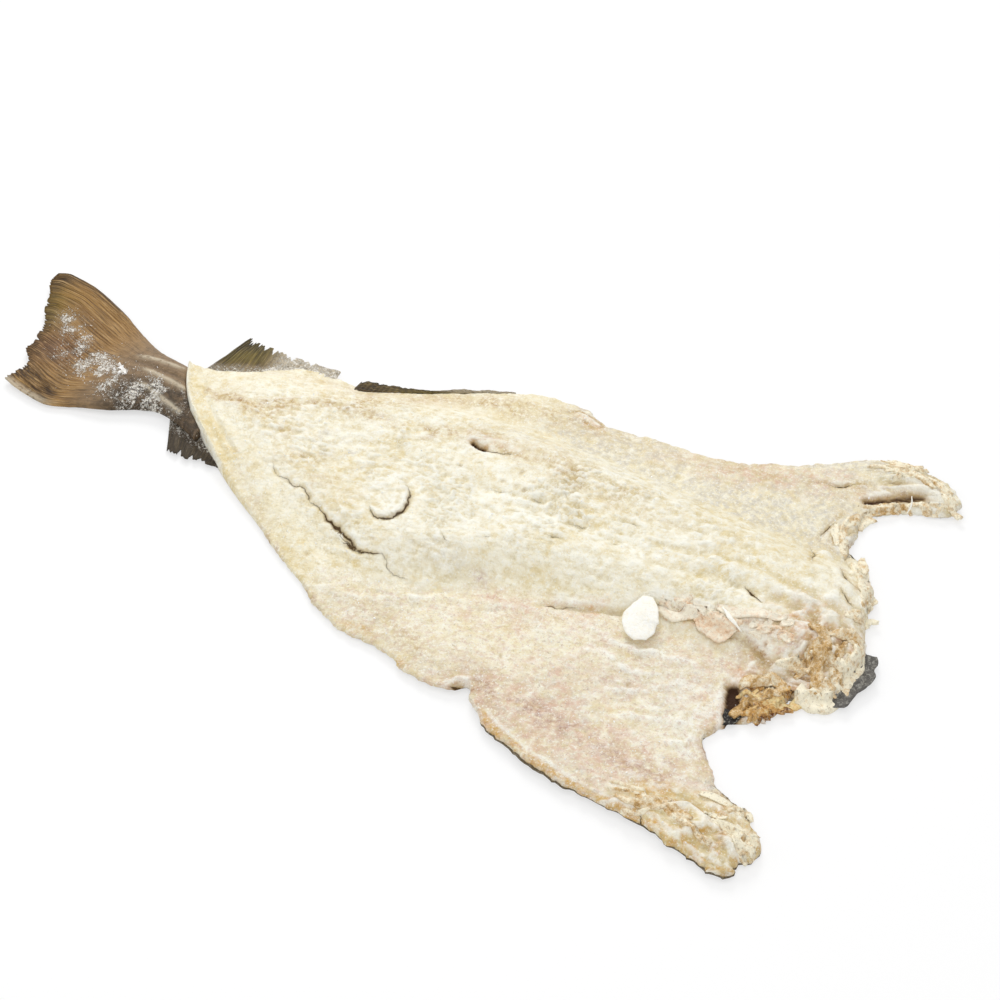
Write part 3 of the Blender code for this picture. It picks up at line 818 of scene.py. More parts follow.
# %% Grains, stains and relief
def speckle(tree, size_mm, low=0.0, high=1.0, rough=0.6, shift=0.0, along=(1, 1, 1), turn=0.0):
    """Grains size_mm across: 0 where their noise is at low, 1 where it is at high."""
    place = add(tree, "TexCoord", out="Object")
    place = add(tree, "Mapping", {"Vector": place, "Rotation": (0, 0, turn), "Location": (shift,) * 3})
    place = add(tree, "Mapping", {"Vector": place, "Scale": along})
    grain = add(tree, "TexNoise", {
        "Vector": place, "Scale": 1 / (size_mm * MM), "Detail": 4.0, "Roughness": rough})
    return add(tree, "MapRange", {0: grain, 1: low, 2: high})


def stain(tree, tone, hex_value, *shares):
    """Lays a colour over a tone by the product of the shares. A word is the name of a mask."""
    total = 1.0
    for share in shares:
        if isinstance(share, str):
            share = add(tree, "Attribute", out="Fac", attribute_name=share)
        total = add(tree, "Math", {0: total, 1: share}, operation="MULTIPLY", use_clamp=True)
    return add(tree, "Mix", {0: total, 6: tone, 7: colour(hex_value)}, out=2, data_type="RGBA")


def finish(tree, shader, tone, relief, height_mm):
    """Gives the shader its tone, and a bump from parts of relief, each with its weight."""
    height = 0.0
    for part, weight in relief:
        height = add(tree, "Math", {0: part, 1: weight, 2: height}, operation="MULTIPLY_ADD")
    bump = add(tree, "Bump", {"Height": height, "Strength": 1.0, "Distance": height_mm * MM})
    tree.links.new(tone, shader.inputs["Base Color"])
    tree.links.new(bump, shader.inputs["Normal"])


# %% [markdown]
# ## Salted flesh
#
# Dried, salted fish muscle: matte, slightly waxy, cream to white, with crumbs of salt about
# half a millimetre across. Splits are far thinner than the grid, so the points carry their
# distance from the nearest split instead, and the material paints the shade inside a split
# where it crosses zero. It also paints shade into the relief's hollows and cracks, and a
# highlight onto its peaks.

# %% The salted flesh material
FLESH_STAINS = [
    ("yellow", "#e6d29a", 0.90, 6.0), ("grey", "#d3ccbd", 0.95, 4.0),
    ("pink", "#dfbda5", 0.95, 5.0), ("tan_and_shade", "#c6a877", 0.95, 3.5),
    ("orange", "#d9a470", 0.90, 4.0), ("purple", "#b48b7a", 0.90, 3.0),
    ("gold", "#d6a654", 1.0, 4.5), ("brown_and_crevice_shade", "#a3743c", 0.95, 3.0)]


def salted_flesh():
    material, tree, shader = new_material("salted_flesh", 0.75, Specular_IOR_Level=0.30)
    lumps = speckle(tree, 3.6, 0.30, 0.66, 0.65, shift=3.0)
    crumbs = speckle(tree, 1.3, 0.30, 0.70, 0.7)
    fibres = speckle(tree, 2.2, 0.36, 0.64, 0.6, shift=8.0, along=(0.16, 1, 1), turn=-0.25)
    tone = stain(tree, colour("#f5ebcb"), "#fcf7e3", speckle(tree, 9, 0.36, 0.62))
    tone = stain(tree, tone, "#fffdf0", "white", speckle(tree, 3.6, 0.32, 0.52, 0.65, shift=3.0))
    for mask, hex_value, strength, size in FLESH_STAINS:
        tone = stain(tree, tone, hex_value, mask, strength,
                     speckle(tree, size, 0.36, 0.60, 0.68, shift=size * 7))
    tone = stain(tree, tone, "#dccb9c", 0.55, speckle(tree, 7.0, 0.50, 0.36, 0.75, shift=31.0))
    # Painted shade in the relief's hollows and a painted highlight on its peaks.
    tone = stain(tree, tone, "#cdbb88", "hollow", 0.46)
    tone = stain(tree, tone, "#fffef4", "peak_highlight", 0.70)
    tone = stain(tree, tone, "#c9b886", 0.40, speckle(tree, 2.6, 0.46, 0.33, 0.72, shift=11.0),
                 speckle(tree, 11, 0.36, 0.60, shift=2.0))
    tone = stain(tree, tone, "#fffef8", "lined", 0.35, speckle(
        tree, 3.2, 0.50, 0.64, 0.75, shift=8.0, along=(0.35, 1, 1), turn=-0.6))
    tone = stain(tree, tone, "#d6b8a2", "lined", 0.55, speckle(tree, 4.2, 0.50, 0.36, 0.75, shift=21.0))
    tone = stain(tree, tone, "#a9927a", "lined", 0.55, speckle(tree, 2.0, 0.42, 0.33, 0.75, shift=27.0))
    tone = stain(tree, tone, "#fffef8", 0.70, speckle(tree, 1.5, 0.54, 0.66, 0.7, shift=4.0))
    # A brown stain in the cracks, holes and creases, then painted shade in them, deepening to near black.
    tone = stain(tree, tone, "#a98350", "crevice_stain_and_shade", 0.9)
    crevice_stain_and_shade = add(tree, "Attribute", out="Fac", attribute_name="crevice_stain_and_shade")
    tone = stain(tree, tone, "#38200e", add(tree, "MapRange", {0: crevice_stain_and_shade, 1: 0.45, 2: 0.9}))
    jagged = add(tree, "MapRange", {0: speckle(tree, 5.0, 0.0, 1.0, 0.75, shift=6.0), 3: -1.8, 4: 1.8})
    split = add(tree, "Attribute", out="Fac", attribute_name="split")
    across = add(tree, "Math", {0: split, 1: jagged}, operation="ADD")
    across = add(tree, "Math", {0: across}, operation="ABSOLUTE")
    width = add(tree, "Attribute", out="Fac", attribute_name="split_width")
    inside = add(tree, "Math", {0: width, 1: across}, operation="SUBTRACT")
    split_depth_and_shade = add(tree, "MapRange", {0: inside, 1: 0.0, 2: 0.4})
    tone = stain(tree, tone, "#a98a54", add(tree, "MapRange", {0: inside, 1: -1.3, 2: 0.1}), 0.55,
                 add(tree, "MapRange", {0: width, 1: 0.15, 2: 0.6}))
    # Painted shade inside the open split.
    tone = stain(tree, tone, "#4a3216", split_depth_and_shade, 0.92)
    finish(tree, shader, tone, [(lumps, 1.0), (crumbs, 0.3), (fibres, 0.3), (split_depth_and_shade, -1.4)], 0.6)
    return material


settle(flesh, salted_flesh())


# %% [markdown]
# ## The skin
#
# The skin dried onto the underside of the flesh. Along the lower collar it reaches a little
# past it, and shows as a thin dark line: the skin's dark edge, with the shade of the gap
# under the flesh painted into it. It is a sheet of its own, one millimetre thick. Over
# the back it is olive brown with spots, it pales towards the belly, and the light lateral
# line runs between.

# %% Build the skin
SKIN_ROWS, SKIN_COLUMNS = 200, 120
x, y, skin_gap = cut_edges(SKIN_ROWS, SKIN_COLUMNS)
ring = ring_of(SKIN_ROWS, SKIN_COLUMNS)
rim = np.stack([x.reshape(-1)[ring], y.reshape(-1)[ring]], -1)
run = np.roll(rim, -3, 0) - np.roll(rim, 3, 0)
outward = np.stack([-run[:, 1], run[:, 0]], -1) / (np.linalg.norm(run, axis=1)[:, None] + 1e-9)
after = np.roll(rim, -1, 0)
outward *= -np.sign(np.sum(rim[:, 0] * after[:, 1] - after[:, 0] * rim[:, 1]))
skin_below_collar = rise((rim[:, 0] - 138) / 20) * rise((-150 - rim[:, 1]) / 6)
skin_rim_dark_and_shade = near(skin_gap, 4) * rise((x - 136) / 10) * rise((-144 - y) / 8)
reach = -0.9 + skin_below_collar * (1.9 + 1.3 * cloud(rim[:, 0], rim[:, 1], 34, 52, 3))
rim = rim + outward * reach[:, None]
x.reshape(-1)[ring], y.reshape(-1)[ring] = rim[:, 0], rim[:, 1]
skin_low = np.maximum(underside(x, y) + 0.12 * cloud(x, y, 9, 53, 2), 0.02)
back_skin = near(y + 8 - 0.08 * x, 70)
lateral_line = np.exp(-((np.abs(y + 8) - 62 - 14 * rise((x - 100) / 200)) / 2.2) ** 2)
skin = sheet("skin", x, y, skin_low + SKIN_THICKNESS, skin_low, {
    "back": back_skin, "lateral": lateral_line, "rim": skin_rim_dark_and_shade,
    "mottle": np.clip(cloud(x, y, 11, 54, 3) * 1.5, 0, 1) * back_skin,
    "salt": 0.2 + 0.3 * np.clip(cloud(x, y, 26, 55, 3), 0, 1)})


# %% The dried skin material
def dried_skin(name, belly_hex, back_hex, spot_hex, fleck_hex, flecked=0.0, rough=0.55):
    material, tree, shader = new_material(name, rough)
    place = add(tree, "TexCoord", out="Object")
    scales = add(tree, "TexVoronoi", {"Vector": place, "Scale": 1 / (2.6 * MM)},
                 out="Distance", feature="DISTANCE_TO_EDGE")
    tone = stain(tree, colour(belly_hex), back_hex, "back")
    tone = stain(tree, tone, spot_hex, "mottle", 0.75)
    tone = stain(tree, tone, "#cfc5a8", "lateral", 0.7)
    tone = stain(tree, tone, spot_hex, 0.4, speckle(tree, 2.4, 0.35, 0.65))
    # Dark skin edge along the lower collar, with the shade of the gap under the flesh painted in.
    tone = stain(tree, tone, "#54431f", "rim")
    tone = stain(tree, tone, fleck_hex, "salt", speckle(tree, 1.3, 0.48, 0.62, 0.7))
    tone = stain(tree, tone, fleck_hex, flecked, speckle(tree, 3.0, 0.50, 0.60, 0.8, shift=4.0))
    edges = add(tree, "MapRange", {0: scales, 1: 0.0, 2: 0.25})
    finish(tree, shader, tone, [(edges, 0.5), (speckle(tree, 1.6), 1.0)], 0.5)
    return material


settle(skin, dried_skin("dried_cod_skin", "#c9c0a9", "#6b5c41", "#3a3020", "#eae4d6"))

# %% [markdown]
# ## The tail
#
# The tail was not split, so it lies on its flank under the end of the flesh: a fleshy stalk
# that thins into a fan of bony rays with a dry membrane between them. Each ray is a ridge
# that forks on its way out, and the membrane's edge is torn between rays.

# %% Outline of the tail
tail_upper = through([
    (-350, 74), (-340, 78), (-320, 76), (-300, 69), (-280, 61), (-260, 50), (-240, 39),
    (-220, 31), (-197, 27), (-165, 18), (-125, 0)])
tail_lower = through([
    (-314, -43), (-300, -47), (-272, -51), (-250, -44), (-225, -36), (-205, -26),
    (-190, -22), (-170, -26), (-145, -37), (-125, -45)])
tail_edge = through([
    (-43, -314), (-36, -313), (-20, -309), (-8, -319), (2, -321), (14, -323), (26, -330),
    (40, -336), (54, -345), (66, -351), (74, -350)])
tail_crest = through([
    (-330, 0), (-285, 0), (-262, 2.5), (-245, 6.5), (-215, 10.5), (-180, 12.0), (-125, 10.0)])
tail_lift = through([(-351, 5.0), (-300, 3.2), (-240, 1.0), (-200, 0.6), (-125, 0.6)])
TAIL_ROOT = -150.0
TAIL_ROWS, TAIL_COLUMNS = 160, 300
RAYS = 44
s, t = grid(TAIL_ROWS, TAIL_COLUMNS)

# %% Tear its edge ray by ray
ray_at = t * RAYS + 0.8 * cloud(t * 300, s * 20, 40, 66, 2)
ray_number = np.clip(np.floor(ray_at), 0, RAYS).astype(int)
this_ray = np.random.default_rng(61).uniform(0, 1, RAYS + 1)[ray_number]
tear = np.exp(-((ray_at - np.floor(ray_at) - 0.5) / 0.2) ** 2)
uneven_tip = cloud(t * 60, t * 0, 7, 62, 3)
torn_tip = 1.2 * this_ray + 4.0 * tear * this_ray ** 2 + 3.4 * np.clip(uneven_tip, -0.3, 1)
torn_tip = torn_tip * rise((0.97 - t) / 0.1)
tail_x, tail_y = patch(
    s, t, tail_edge, (-285, -170), lambda place: np.full(np.shape(place), TAIL_ROOT),
    tail_lower, tail_upper, (-43, 74), (-35, 12))
tail_x = tail_x + torn_tip * rise(1 - s / 0.12) ** 2
across = (2 * tail_y - tail_lower(tail_x) - tail_upper(tail_x)) / (tail_upper(tail_x) - tail_lower(tail_x))
across = np.clip(across, -1, 1)

# %% Shape the rays and the stalk
fan = rise((-240 - tail_x) / 45)
forked = rise((-292 - tail_x) / 22)
ray = mix(np.cos(2 * math.pi * ray_at), np.cos(4 * math.pi * ray_at), forked)
ray = ray * (0.6 + 0.8 * this_ray)
wavy = cloud(tail_x, tail_y, 30, 63, 3)
flank = tail_crest(tail_x) * np.sqrt(1 - np.abs(across) ** 2.4) * (1 - 0.3 * across ** 2)
base = tail_lift(tail_x) + 0.4 * tail_crest(tail_x) * across ** 2
STRIPES = [
    [(-240, 18), (-216, 20), (-197, 20)], [(-228, 7), (-202, 4), (-182, 0)],
    [(-221, -6), (-197, -13), (-173, -20)]]
FURROW = [(-244, 13), (-222, 13), (-200, 11), (-180, 8)]
stripe = np.zeros(tail_x.shape)
for line in STRIPES:
    gap, _, along = trail(tail_x, tail_y, line)
    stripe = np.maximum(stripe, near(gap, 2.2) * rise(along / 0.3))
gap, _, along = trail(tail_x, tail_y, FURROW)
furrow = near(gap, 2.2) * rise(along / 0.2)
thin = np.sqrt(1 - (1 - np.clip((1 - np.abs(across)) * 30, 0, 1)) ** 2)
thickness = mix(1.0, 2.2, rise((tail_x + 330) / 60))
tail_top = base + flank + thickness * thin + 0.30 * fan * ray * thin + 1.1 * wavy * fan
tail_top = tail_top + 1.0 * stripe - 0.9 * furrow + 0.5 * cloud(tail_x, tail_y, 6, 64, 3) * (1 - fan)
tail_bottom = np.maximum(base + 1.1 * wavy * fan - 0.15 * fan * ray * thin, 0.15)
gap, side, _ = trail(tail_x, tail_y, FOLD_LINE)
under_flesh = rise((side * gap + 0.5) / 3.5)
tail_top = mix(tail_top, np.minimum(tail_top, underside(tail_x, tail_y) + 4.0), under_flesh)

# %% Paint the tail's masks
SALTED = [
    (-312, 34), (-294, 22), (-285, 10), (-268, 2), (-250, -5), (-233, -12), (-215, -14), (-198, -14)]


def salt_on_tail(x, y):
    """How thickly salt lies at a place: a band across the fan, then the stalk's lower side."""
    gap, _, along = trail(x, y, SALTED)
    lying = near(gap, mix(10.0, 19.0, along)) + 0.65 * spot(x, y, -264, -5, 34, 18, -8)
    lying = lying + 0.45 * rise((x + 235) / 25) * rise((6 - y) / 14)
    return np.clip(lying * (0.60 + 0.8 * cloud(x, y, 8, 65, 5)), 0, 1)


edge_dark = rise((across - 0.86) / 0.12) * fan + spot(tail_x, tail_y, -345, 70, 9, 10)
wedge = spot(tail_x, tail_y, -300, -33, 22, 9, -12) + 0.7 * rise((0.04 - s) / 0.04) * fan
shaded = rise((tail_x + 246) / 26) * rise((2 - tail_y) / 9) + 0.45 * furrow
dusky = rise((24 - tail_y) / 30) * rise((-232 - tail_x) / 20)
dusky = dusky * np.clip(0.5 + cloud(tail_x, tail_y, 26, 67, 3), 0, 1)
stalk = rise((tail_x + 268) / 40)
lower_pale = rise((-0.88 - across) / 0.1) * rise((-255 - tail_x) / 30)
tail_gold = spot(tail_x, tail_y, -288, -43, 30, 4, -8) + spot(tail_x, tail_y, -310, -31, 12, 4, 8)
tail_gold = tail_gold + 0.7 * spot(tail_x, tail_y, -322, 52, 26, 16, 10)
tail = sheet("tail", tail_x, tail_y, tail_top, tail_bottom, {
    "across": t * 92, "outward": s * 9, "ray": np.clip(0.5 - 0.5 * ray, 0, 1) * fan,
    "olive": np.clip(1.3 * spot(tail_x, tail_y, -334, 36, 15, 26, 24), 0, 1),
    "red": np.clip(0.9 * spot(tail_x, tail_y, -300, 2, 22, 16, 0), 0, 1),
    "dark": np.clip(0.9 * edge_dark + wedge + 0.8 * dusky, 0, 1),
    "stalk": stalk, "shade": np.clip(shaded, 0, 1),
    "pale": np.clip(0.85 * stripe + 0.7 * lower_pale, 0, 1),
    "salt": salt_on_tail(tail_x, tail_y), "gold": np.clip(tail_gold, 0, 1)})


# %% [markdown]
# ## Fin membrane
#
# Dried fin: horn-like rays with a brown membrane between. The streaks follow the rays, so
# their noise is laid out by two numbers kept on the points, how far across the fan a point is
# and how far out along its ray. A crust of salt sits over it.

# %% The dried fin material
def dried_fin(name, web_hex, ray_hex, light_hex, olive_hex, dark_hex):
    material, tree, shader = new_material(name, 0.55, Specular_IOR_Level=0.30)
    place = [add(tree, "Attribute", out="Fac", attribute_name=word) for word in ("across", "outward")]
    place = add(tree, "CombineXYZ", {0: place[0], 1: place[1]})
    broad = add(tree, "TexNoise", {"Vector": place, "Scale": 0.30, "Detail": 3.0, "Roughness": 0.6})
    fine = add(tree, "TexNoise", {"Vector": place, "Scale": 1.1, "Detail": 4.0, "Roughness": 0.7})
    tone = stain(tree, colour(web_hex), ray_hex, add(tree, "MapRange", {0: broad, 1: 0.38, 2: 0.62}))
    tone = stain(tree, tone, olive_hex, "olive", 0.9)
    tone = stain(tree, tone, "#8e6048", "red", 0.6)
    tone = stain(tree, tone, "#a8803a", "gold", 0.8, add(tree, "MapRange", {0: broad, 1: 0.40, 2: 0.52}))
    tone = stain(tree, tone, dark_hex, "ray", 0.40)
    tone = stain(tree, tone, dark_hex, add(tree, "MapRange", {0: fine, 1: 0.50, 2: 0.34}), 0.75)
    tone = stain(tree, tone, light_hex, add(tree, "MapRange", {0: fine, 1: 0.54, 2: 0.70}), 0.60)
    tone = stain(tree, tone, dark_hex, "dark", 0.95, add(tree, "MapRange", {0: fine, 1: 0.66, 2: 0.44}))
    tone = stain(tree, tone, "#c0ae99", "salt", 0.32, speckle(tree, 6.0, 0.35, 0.60, 0.75, shift=19.0))
    tone = stain(tree, tone, "#86735d", "stalk", 0.72)
    tone = stain(tree, tone, "#5f4f3c", "stalk", 0.55, speckle(tree, 4.0, 0.52, 0.40, 0.8, shift=23.0))
    tone = stain(tree, tone, "#3a3024", "shade", 0.92, speckle(tree, 5.0, 0.25, 0.55, 0.75, shift=13.0))
    tone = stain(tree, tone, "#dccfb6", "pale", 0.85, speckle(tree, 4.0, 0.30, 0.50, 0.75, shift=17.0))
    salt = add(tree, "Attribute", out="Fac", attribute_name="salt")
    crumbs = add(tree, "Math", {0: salt, 1: 0.20, 2: speckle(tree, 2.0, 0.0, 1.0, 0.9, shift=5.0)},
                 operation="MULTIPLY_ADD")
    crust = add(tree, "MapRange", {0: crumbs, 1: 0.66, 2: 0.72})
    tone = stain(tree, tone, "#f6f1e6", crust, add(tree, "MapRange", {0: salt, 1: 0.04, 2: 0.35}), 0.95)
    finish(tree, shader, tone, [(fine, 0.8), (crust, 0.5)], 0.9)
    return material


settle(tail, dried_fin(
    "dried_tail_fin", "#8c6838", "#b18b56", "#cdb084", "#776524", "#33210a"))


# %% [markdown]
# ## The smaller fins
#
# The anal fins still stand along the upper belly edge and the last dorsal fin shows below
# the tail's stalk. Each is a strip of rays from a root line to a ragged outer edge.

# %% Build a strip of rays
def ray_strip(name, root, tip, rays, root_z, tip_z, raggedness, seed, masks, folded=False):
    s, t = grid(30, rays * 9)
    at_root, at_tip = ([np.interp(t, np.linspace(0, 1, len(line)), column) for column in zip(*line)]
                       for line in (root, tip))
    number = np.clip(np.floor(t * rays), 0, rays).astype(int)
    length = np.random.default_rng(seed).uniform(0, 1, rays + 1)[number]
    notch = near(t * rays - number - 0.5, 0.25)
    tears = 0.6 * length + 0.9 * notch * length + 0.4 * cloud(t * 40, 0 * t, 9, seed, 2)
    reach = s * (1 - raggedness * tears)
    x, y = (mix(from_root, to_tip, reach) for from_root, to_tip in zip(at_root, at_tip))
    ray = -np.cos(2 * math.pi * rays * t)
    z = mix(root_z, tip_z, s) + 1.4 * cloud(x, y, 18, seed, 2) * s
    run = math.dist(root[0], root[-1]) * t
    tone = {"across": 7.0 * s if folded else run / 1.2, "outward": run / 12 if folded else 2.0 * s,
            "ray": 0.5 - 0.5 * ray, "gold": 0.0, "red": 0.0, "pale": 0.0, "stalk": 0.0, "shade": 0.0}
    tone.update({key: np.clip(mask(s, t), 0, 1) for key, mask in masks.items()})
    top = z + mix(2.0, 0.9, s) + 0.32 * ray * (1 - 0.5 * s)
    return sheet(name, x, y, top, np.maximum(z - 0.1 * ray, 0.15), tone)


# %% The three small fins
fin_material = dried_fin("dried_small_fin", "#5a4724", "#7d6634", "#a8966a", "#7a6e2e", "#241b0c")
second_anal = ray_strip(
    "second_anal_fin", [(-187, 26), (-160, 40), (-132, 56), (-96, 68)],
    [(-176, 77), (-164, 78), (-136, 76), (-96, 76)], 22, 5.5, 6.5, 0.22, 71, {
        "olive": lambda s, t: 0.6 * rise((s - 0.15) / 0.4) * rise((0.62 - t) / 0.3),
        "dark": lambda s, t: (0.9 * rise((s - 0.62) / 0.2) * rise((0.5 - t) / 0.2)
                              + 0.7 * rise((0.16 - t) / 0.1)),
        "pale": lambda s, t: 0.95 * rise((t - 0.42) / 0.25) + 0.3 * rise((0.4 - s) / 0.3),
        "salt": lambda s, t: 0.9 * rise((t - 0.42) / 0.25) + 0.8 * rise((0.42 - s) / 0.3)})
first_anal = ray_strip(
    "first_anal_fin", [(-80, 64), (-55, 74), (-20, 92), (0, 104), (27, 116)],
    [(-78, 77), (-55, 82), (-30, 90), (-4, 105), (27, 118)], 30, 4.0, 5.5, 0.20, 72, {
        "olive": lambda s, t: 0.7 * rise((t - 0.1) / 0.3) * (1 - s),
        "dark": lambda s, t: 0.5 + 0.4 * rise((0.3 - t) / 0.2),
        "pale": lambda s, t: 0.5 * rise((t - 0.45) / 0.2),
        "salt": lambda s, t: 0.5 * rise((t - 0.5) / 0.3)}, folded=True)
third_dorsal = ray_strip(
    "third_dorsal_fin", [(-185, -14), (-160, -22), (-135, -34), (-116, -42)],
    [(-163, -52), (-150, -50), (-135, -48), (-120, -48)], 14, 3.0, 2.0, 0.16, 73, {
        "olive": lambda s, t: 0.1 * s, "dark": lambda s, t: 1.0 - 0.35 * s,
        "shade": lambda s, t: 0.7 - 0.5 * s,
        "salt": lambda s, t: 0.75 * rise((0.75 - s) / 0.4) + 0.4 * rise((t - 0.8) / 0.1)})
for fin in (second_anal, first_anal):
    settle(fin, fin_material)
settle(third_dorsal, dried_fin(
    "dark_dorsal_fin", "#46392a", "#5f5038", "#96896f", "#5a5030", "#1d180f"))


# %% [markdown]
# ## Torn pieces
#
# Where the head and the backbone came away, flesh and skin are left in tatters: sheets that
# curl, hard yellow lumps of gristle, a white flake lying loose and slivers of bone. Each is a
# small closed sheet along a short line, wide in the middle, bent and roughened. The tatters
# lie on the flesh, so each takes its height from the flesh below it.

# %% Look up the height of a surface
def height_over(grid_x, grid_y, grid_z):
    """A function that gives the surface's height at the grid point nearest to each place."""
    tree = KDTree(grid_x.size)
    for i, (px, py) in enumerate(zip(grid_x.reshape(-1), grid_y.reshape(-1))):
        tree.insert((px, py, 0), i)
    tree.balance()
    heights = grid_z.reshape(-1)

    def height(x, y):
        places = zip(np.ravel(x), np.ravel(y))
        return np.array([heights[tree.find((px, py, 0))[1]] for px, py in places]).reshape(np.shape(x))

    return height


flesh_height = height_over(flesh_x, flesh_y, flesh_top)


# %% Build a curled tatter
def tatter(path, widths, thickness, curl, seed, tint=0.0, heights=None, lift=0.0, rough=0.8,
           wander=0.35, size=(14, 8)):
    """One closed sheet: x, y, top, bottom and tint. Without heights it lies on the flesh."""
    s, t = grid(*size)
    at = np.linspace(0, 1, len(path))
    px, py = (through(list(zip(at, column))) for column in zip(*path))
    width = through(list(zip(np.linspace(0, 1, len(widths)), widths)))
    before, beyond = np.clip(s - 0.02, 0, 1), np.clip(s + 0.02, 0, 1)
    dx, dy = px(beyond) - px(before), py(beyond) - py(before)
    offset = (t - 0.5) * width(s) * (1 + wander * cloud(s * 30, t * 9, 7, seed, 2)) / np.hypot(dx, dy)
    x = px(s) - dy * offset + wander * 2.2 * rough * cloud(s * 40, t * 20, 9, seed + 1, 3)
    y = py(s) + dx * offset + wander * 2.2 * rough * cloud(s * 40, t * 20, 9, seed + 2, 3)
    if heights is None:
        z = flesh_height(x, y) + lift
    else:
        z = through(list(zip(np.linspace(0, 1, len(heights)), heights)))(s)
    z = z + curl * (2 * t - 1) ** 2 + rough * cloud(x, y, 6, seed + 3, 3)
    body = np.sqrt(1 - (2 * t - 1) ** 2) * np.sqrt(1 - (2 * s - 1) ** 6)
    body = thickness * (0.3 + 0.7 * body)
    return x, y, np.maximum(z + body * 0.5, 0.6), np.maximum(z - body * 0.5, 0.1), tint


def joined(name, sheets, material):
    """Makes one piece of several closed sheets."""
    places, faces, tints, count = [], [], [], 0
    for x, y, top, bottom, tint in sheets:
        rows, columns = x.shape[0] - 1, x.shape[1] - 1
        half = x.size
        upper, ring = grid_faces(rows, columns), ring_of(rows, columns)
        after = np.roll(ring, -1)
        wall = np.stack([ring, after, after + half, ring + half], -1)
        faces += (np.concatenate([upper, upper[:, ::-1] + half, wall]) + count).tolist()
        places += [np.stack([x, y, z], -1).reshape(-1, 3) for z in (top, bottom)]
        tints.append(np.full(2 * half, tint))
        count += 2 * half
    piece = piece_from(name, np.concatenate(places), faces, {"tint": np.concatenate(tints)})
    return settle(piece, material)


def shreds(line, count, spread, length, width, thick, tint, seed, turn=0.0, swing=0.5, lift=0.2):
    """Tatters scattered along a line of board places. Ranges are (least, most)."""
    random = np.random.default_rng(seed)
    made = []
    for number in range(count):
        along = random.uniform(0, len(line) - 1.001)
        (ax, ay), (bx, by) = line[int(along)], line[int(along) + 1]
        angle = math.atan2(by - ay, bx - ax) + math.radians(turn) + random.normal(0, swing)
        middle_x = mix(ax, bx, along % 1) + random.normal(0, spread)
        middle_y = mix(ay, by, along % 1) + random.normal(0, spread)
        long, wide, bend = random.uniform(*length), random.uniform(*width), random.normal(0, 0.7)
        path = [
            (middle_x + u * long * math.cos(angle + bend * u),
             middle_y + u * long * math.sin(angle + bend * u)) for u in (-0.5, -0.15, 0.2, 0.5)]
        body = random.uniform(*thick)
        made.append(tatter(
            path, [0.5 * wide, 0.95 * wide, wide, 0.6 * wide], body, random.normal(0, 0.5),
            seed * 100 + number, random.uniform(*tint), lift=lift + random.uniform(-0.25, 0.15) * body,
            rough=0.45, wander=0.26))
    return made


# %% Materials of the torn pieces
def torn_tissue(name, light_hex, warm_hex, dark_hex, rough=0.6):
    """Dried tissue that runs from light through warm to dark with the piece's tint."""
    material, tree, shader = new_material(name, rough, Specular_IOR_Level=0.35)
    tint = add(tree, "Attribute", out="Fac", attribute_name="tint")
    tint = add(tree, "Math", {0: tint, 1: 0.6}, operation="MULTIPLY")
    mottle = speckle(tree, 5.0, 0.25, 0.75, 0.75)
    shade = add(tree, "Math", {0: mottle, 1: 1.0, 2: tint}, operation="MULTIPLY_ADD")
    tone = stain(tree, colour(light_hex), warm_hex, add(tree, "MapRange", {0: shade, 1: 0.35, 2: 0.85}))
    tone = stain(tree, tone, dark_hex, add(tree, "MapRange", {0: shade, 1: 0.82, 2: 1.25}))
    tone = stain(tree, tone, dark_hex, 0.45, speckle(tree, 2.0, 0.46, 0.32, 0.7, shift=9.0))
    tone = stain(tree, tone, "#fffbe9", 0.5, speckle(tree, 1.8, 0.54, 0.68, 0.7, shift=7.0))
    finish(tree, shader, tone, [(speckle(tree, 3.0, shift=9.0), 1.0), (speckle(tree, 1.1), 0.4)], 1.0)
    return material


torn_flesh = torn_tissue("torn_flesh", "#fbf3da", "#cda566", "#54300f")
yellow_flesh = torn_tissue("yellow_torn_flesh", "#f1dda6", "#d6a45c", "#5a3012")
pink_flesh = torn_tissue("pink_torn_flesh", "#fcf4e0", "#efcfac", "#a8703f")
flake_white = torn_tissue("loose_flake_white", "#fffef8", "#fffbee", "#f3e9cf", 0.8)

# %% The loose flake and the slivers
joined("loose_flake", [
    tatter([(201, -30), (203, -39), (204, -48), (207, -55), (210, -61)], [7, 18, 24, 20, 8], 1.8, -0.6, 81,
           heights=[19.5, 18.5, 16.5, 14.5, 13.2], rough=0.12, wander=0.05, size=(44, 28))],
    flake_white)
joined("bone_slivers", [
    tatter([(248, -19), (256, -24), (266, -29)], [0.8, 3.4, 0.5], 1.4, 0.0, 82,
           heights=[23, 22, 18.5], rough=0.15),
    tatter([(319, 144), (321, 139), (320, 134)], [0.6, 1.1, 0.4], 1.0, 0.0, 83,
           heights=[13, 9, 5], rough=0.15)],
    flake_white)

# %% Torn flesh along the cavity's edge
TORN_EDGE = [(206, -29), (218, -30), (231, -26), (250, -25), (268, -27), (282, -19), (298, -11)]
joined("torn_flakes", [
    tatter([(233, -28), (242, -31), (252, -32), (263, -27)], [5, 12, 13, 4], 2.4, 0.9, 85, 0.25,
           lift=1.6, rough=0.4),
    tatter([(208, -31), (220, -33), (230, -28), (240, -25)], [3, 7, 6, 4], 3.0, 0.8, 86, -0.3,
           lift=1.2, rough=0.5),
    tatter([(244, -20), (258, -19), (272, -14), (288, -8)], [3, 6, 6, 3], 2.6, 0.8, 87, -0.2,
           lift=1.0, rough=0.6)]
    + shreds(TORN_EDGE, 34, 3.0, (5, 14), (2, 5), (1.2, 2.6), (-0.2, 0.35), 130, swing=0.35),
    pink_flesh)

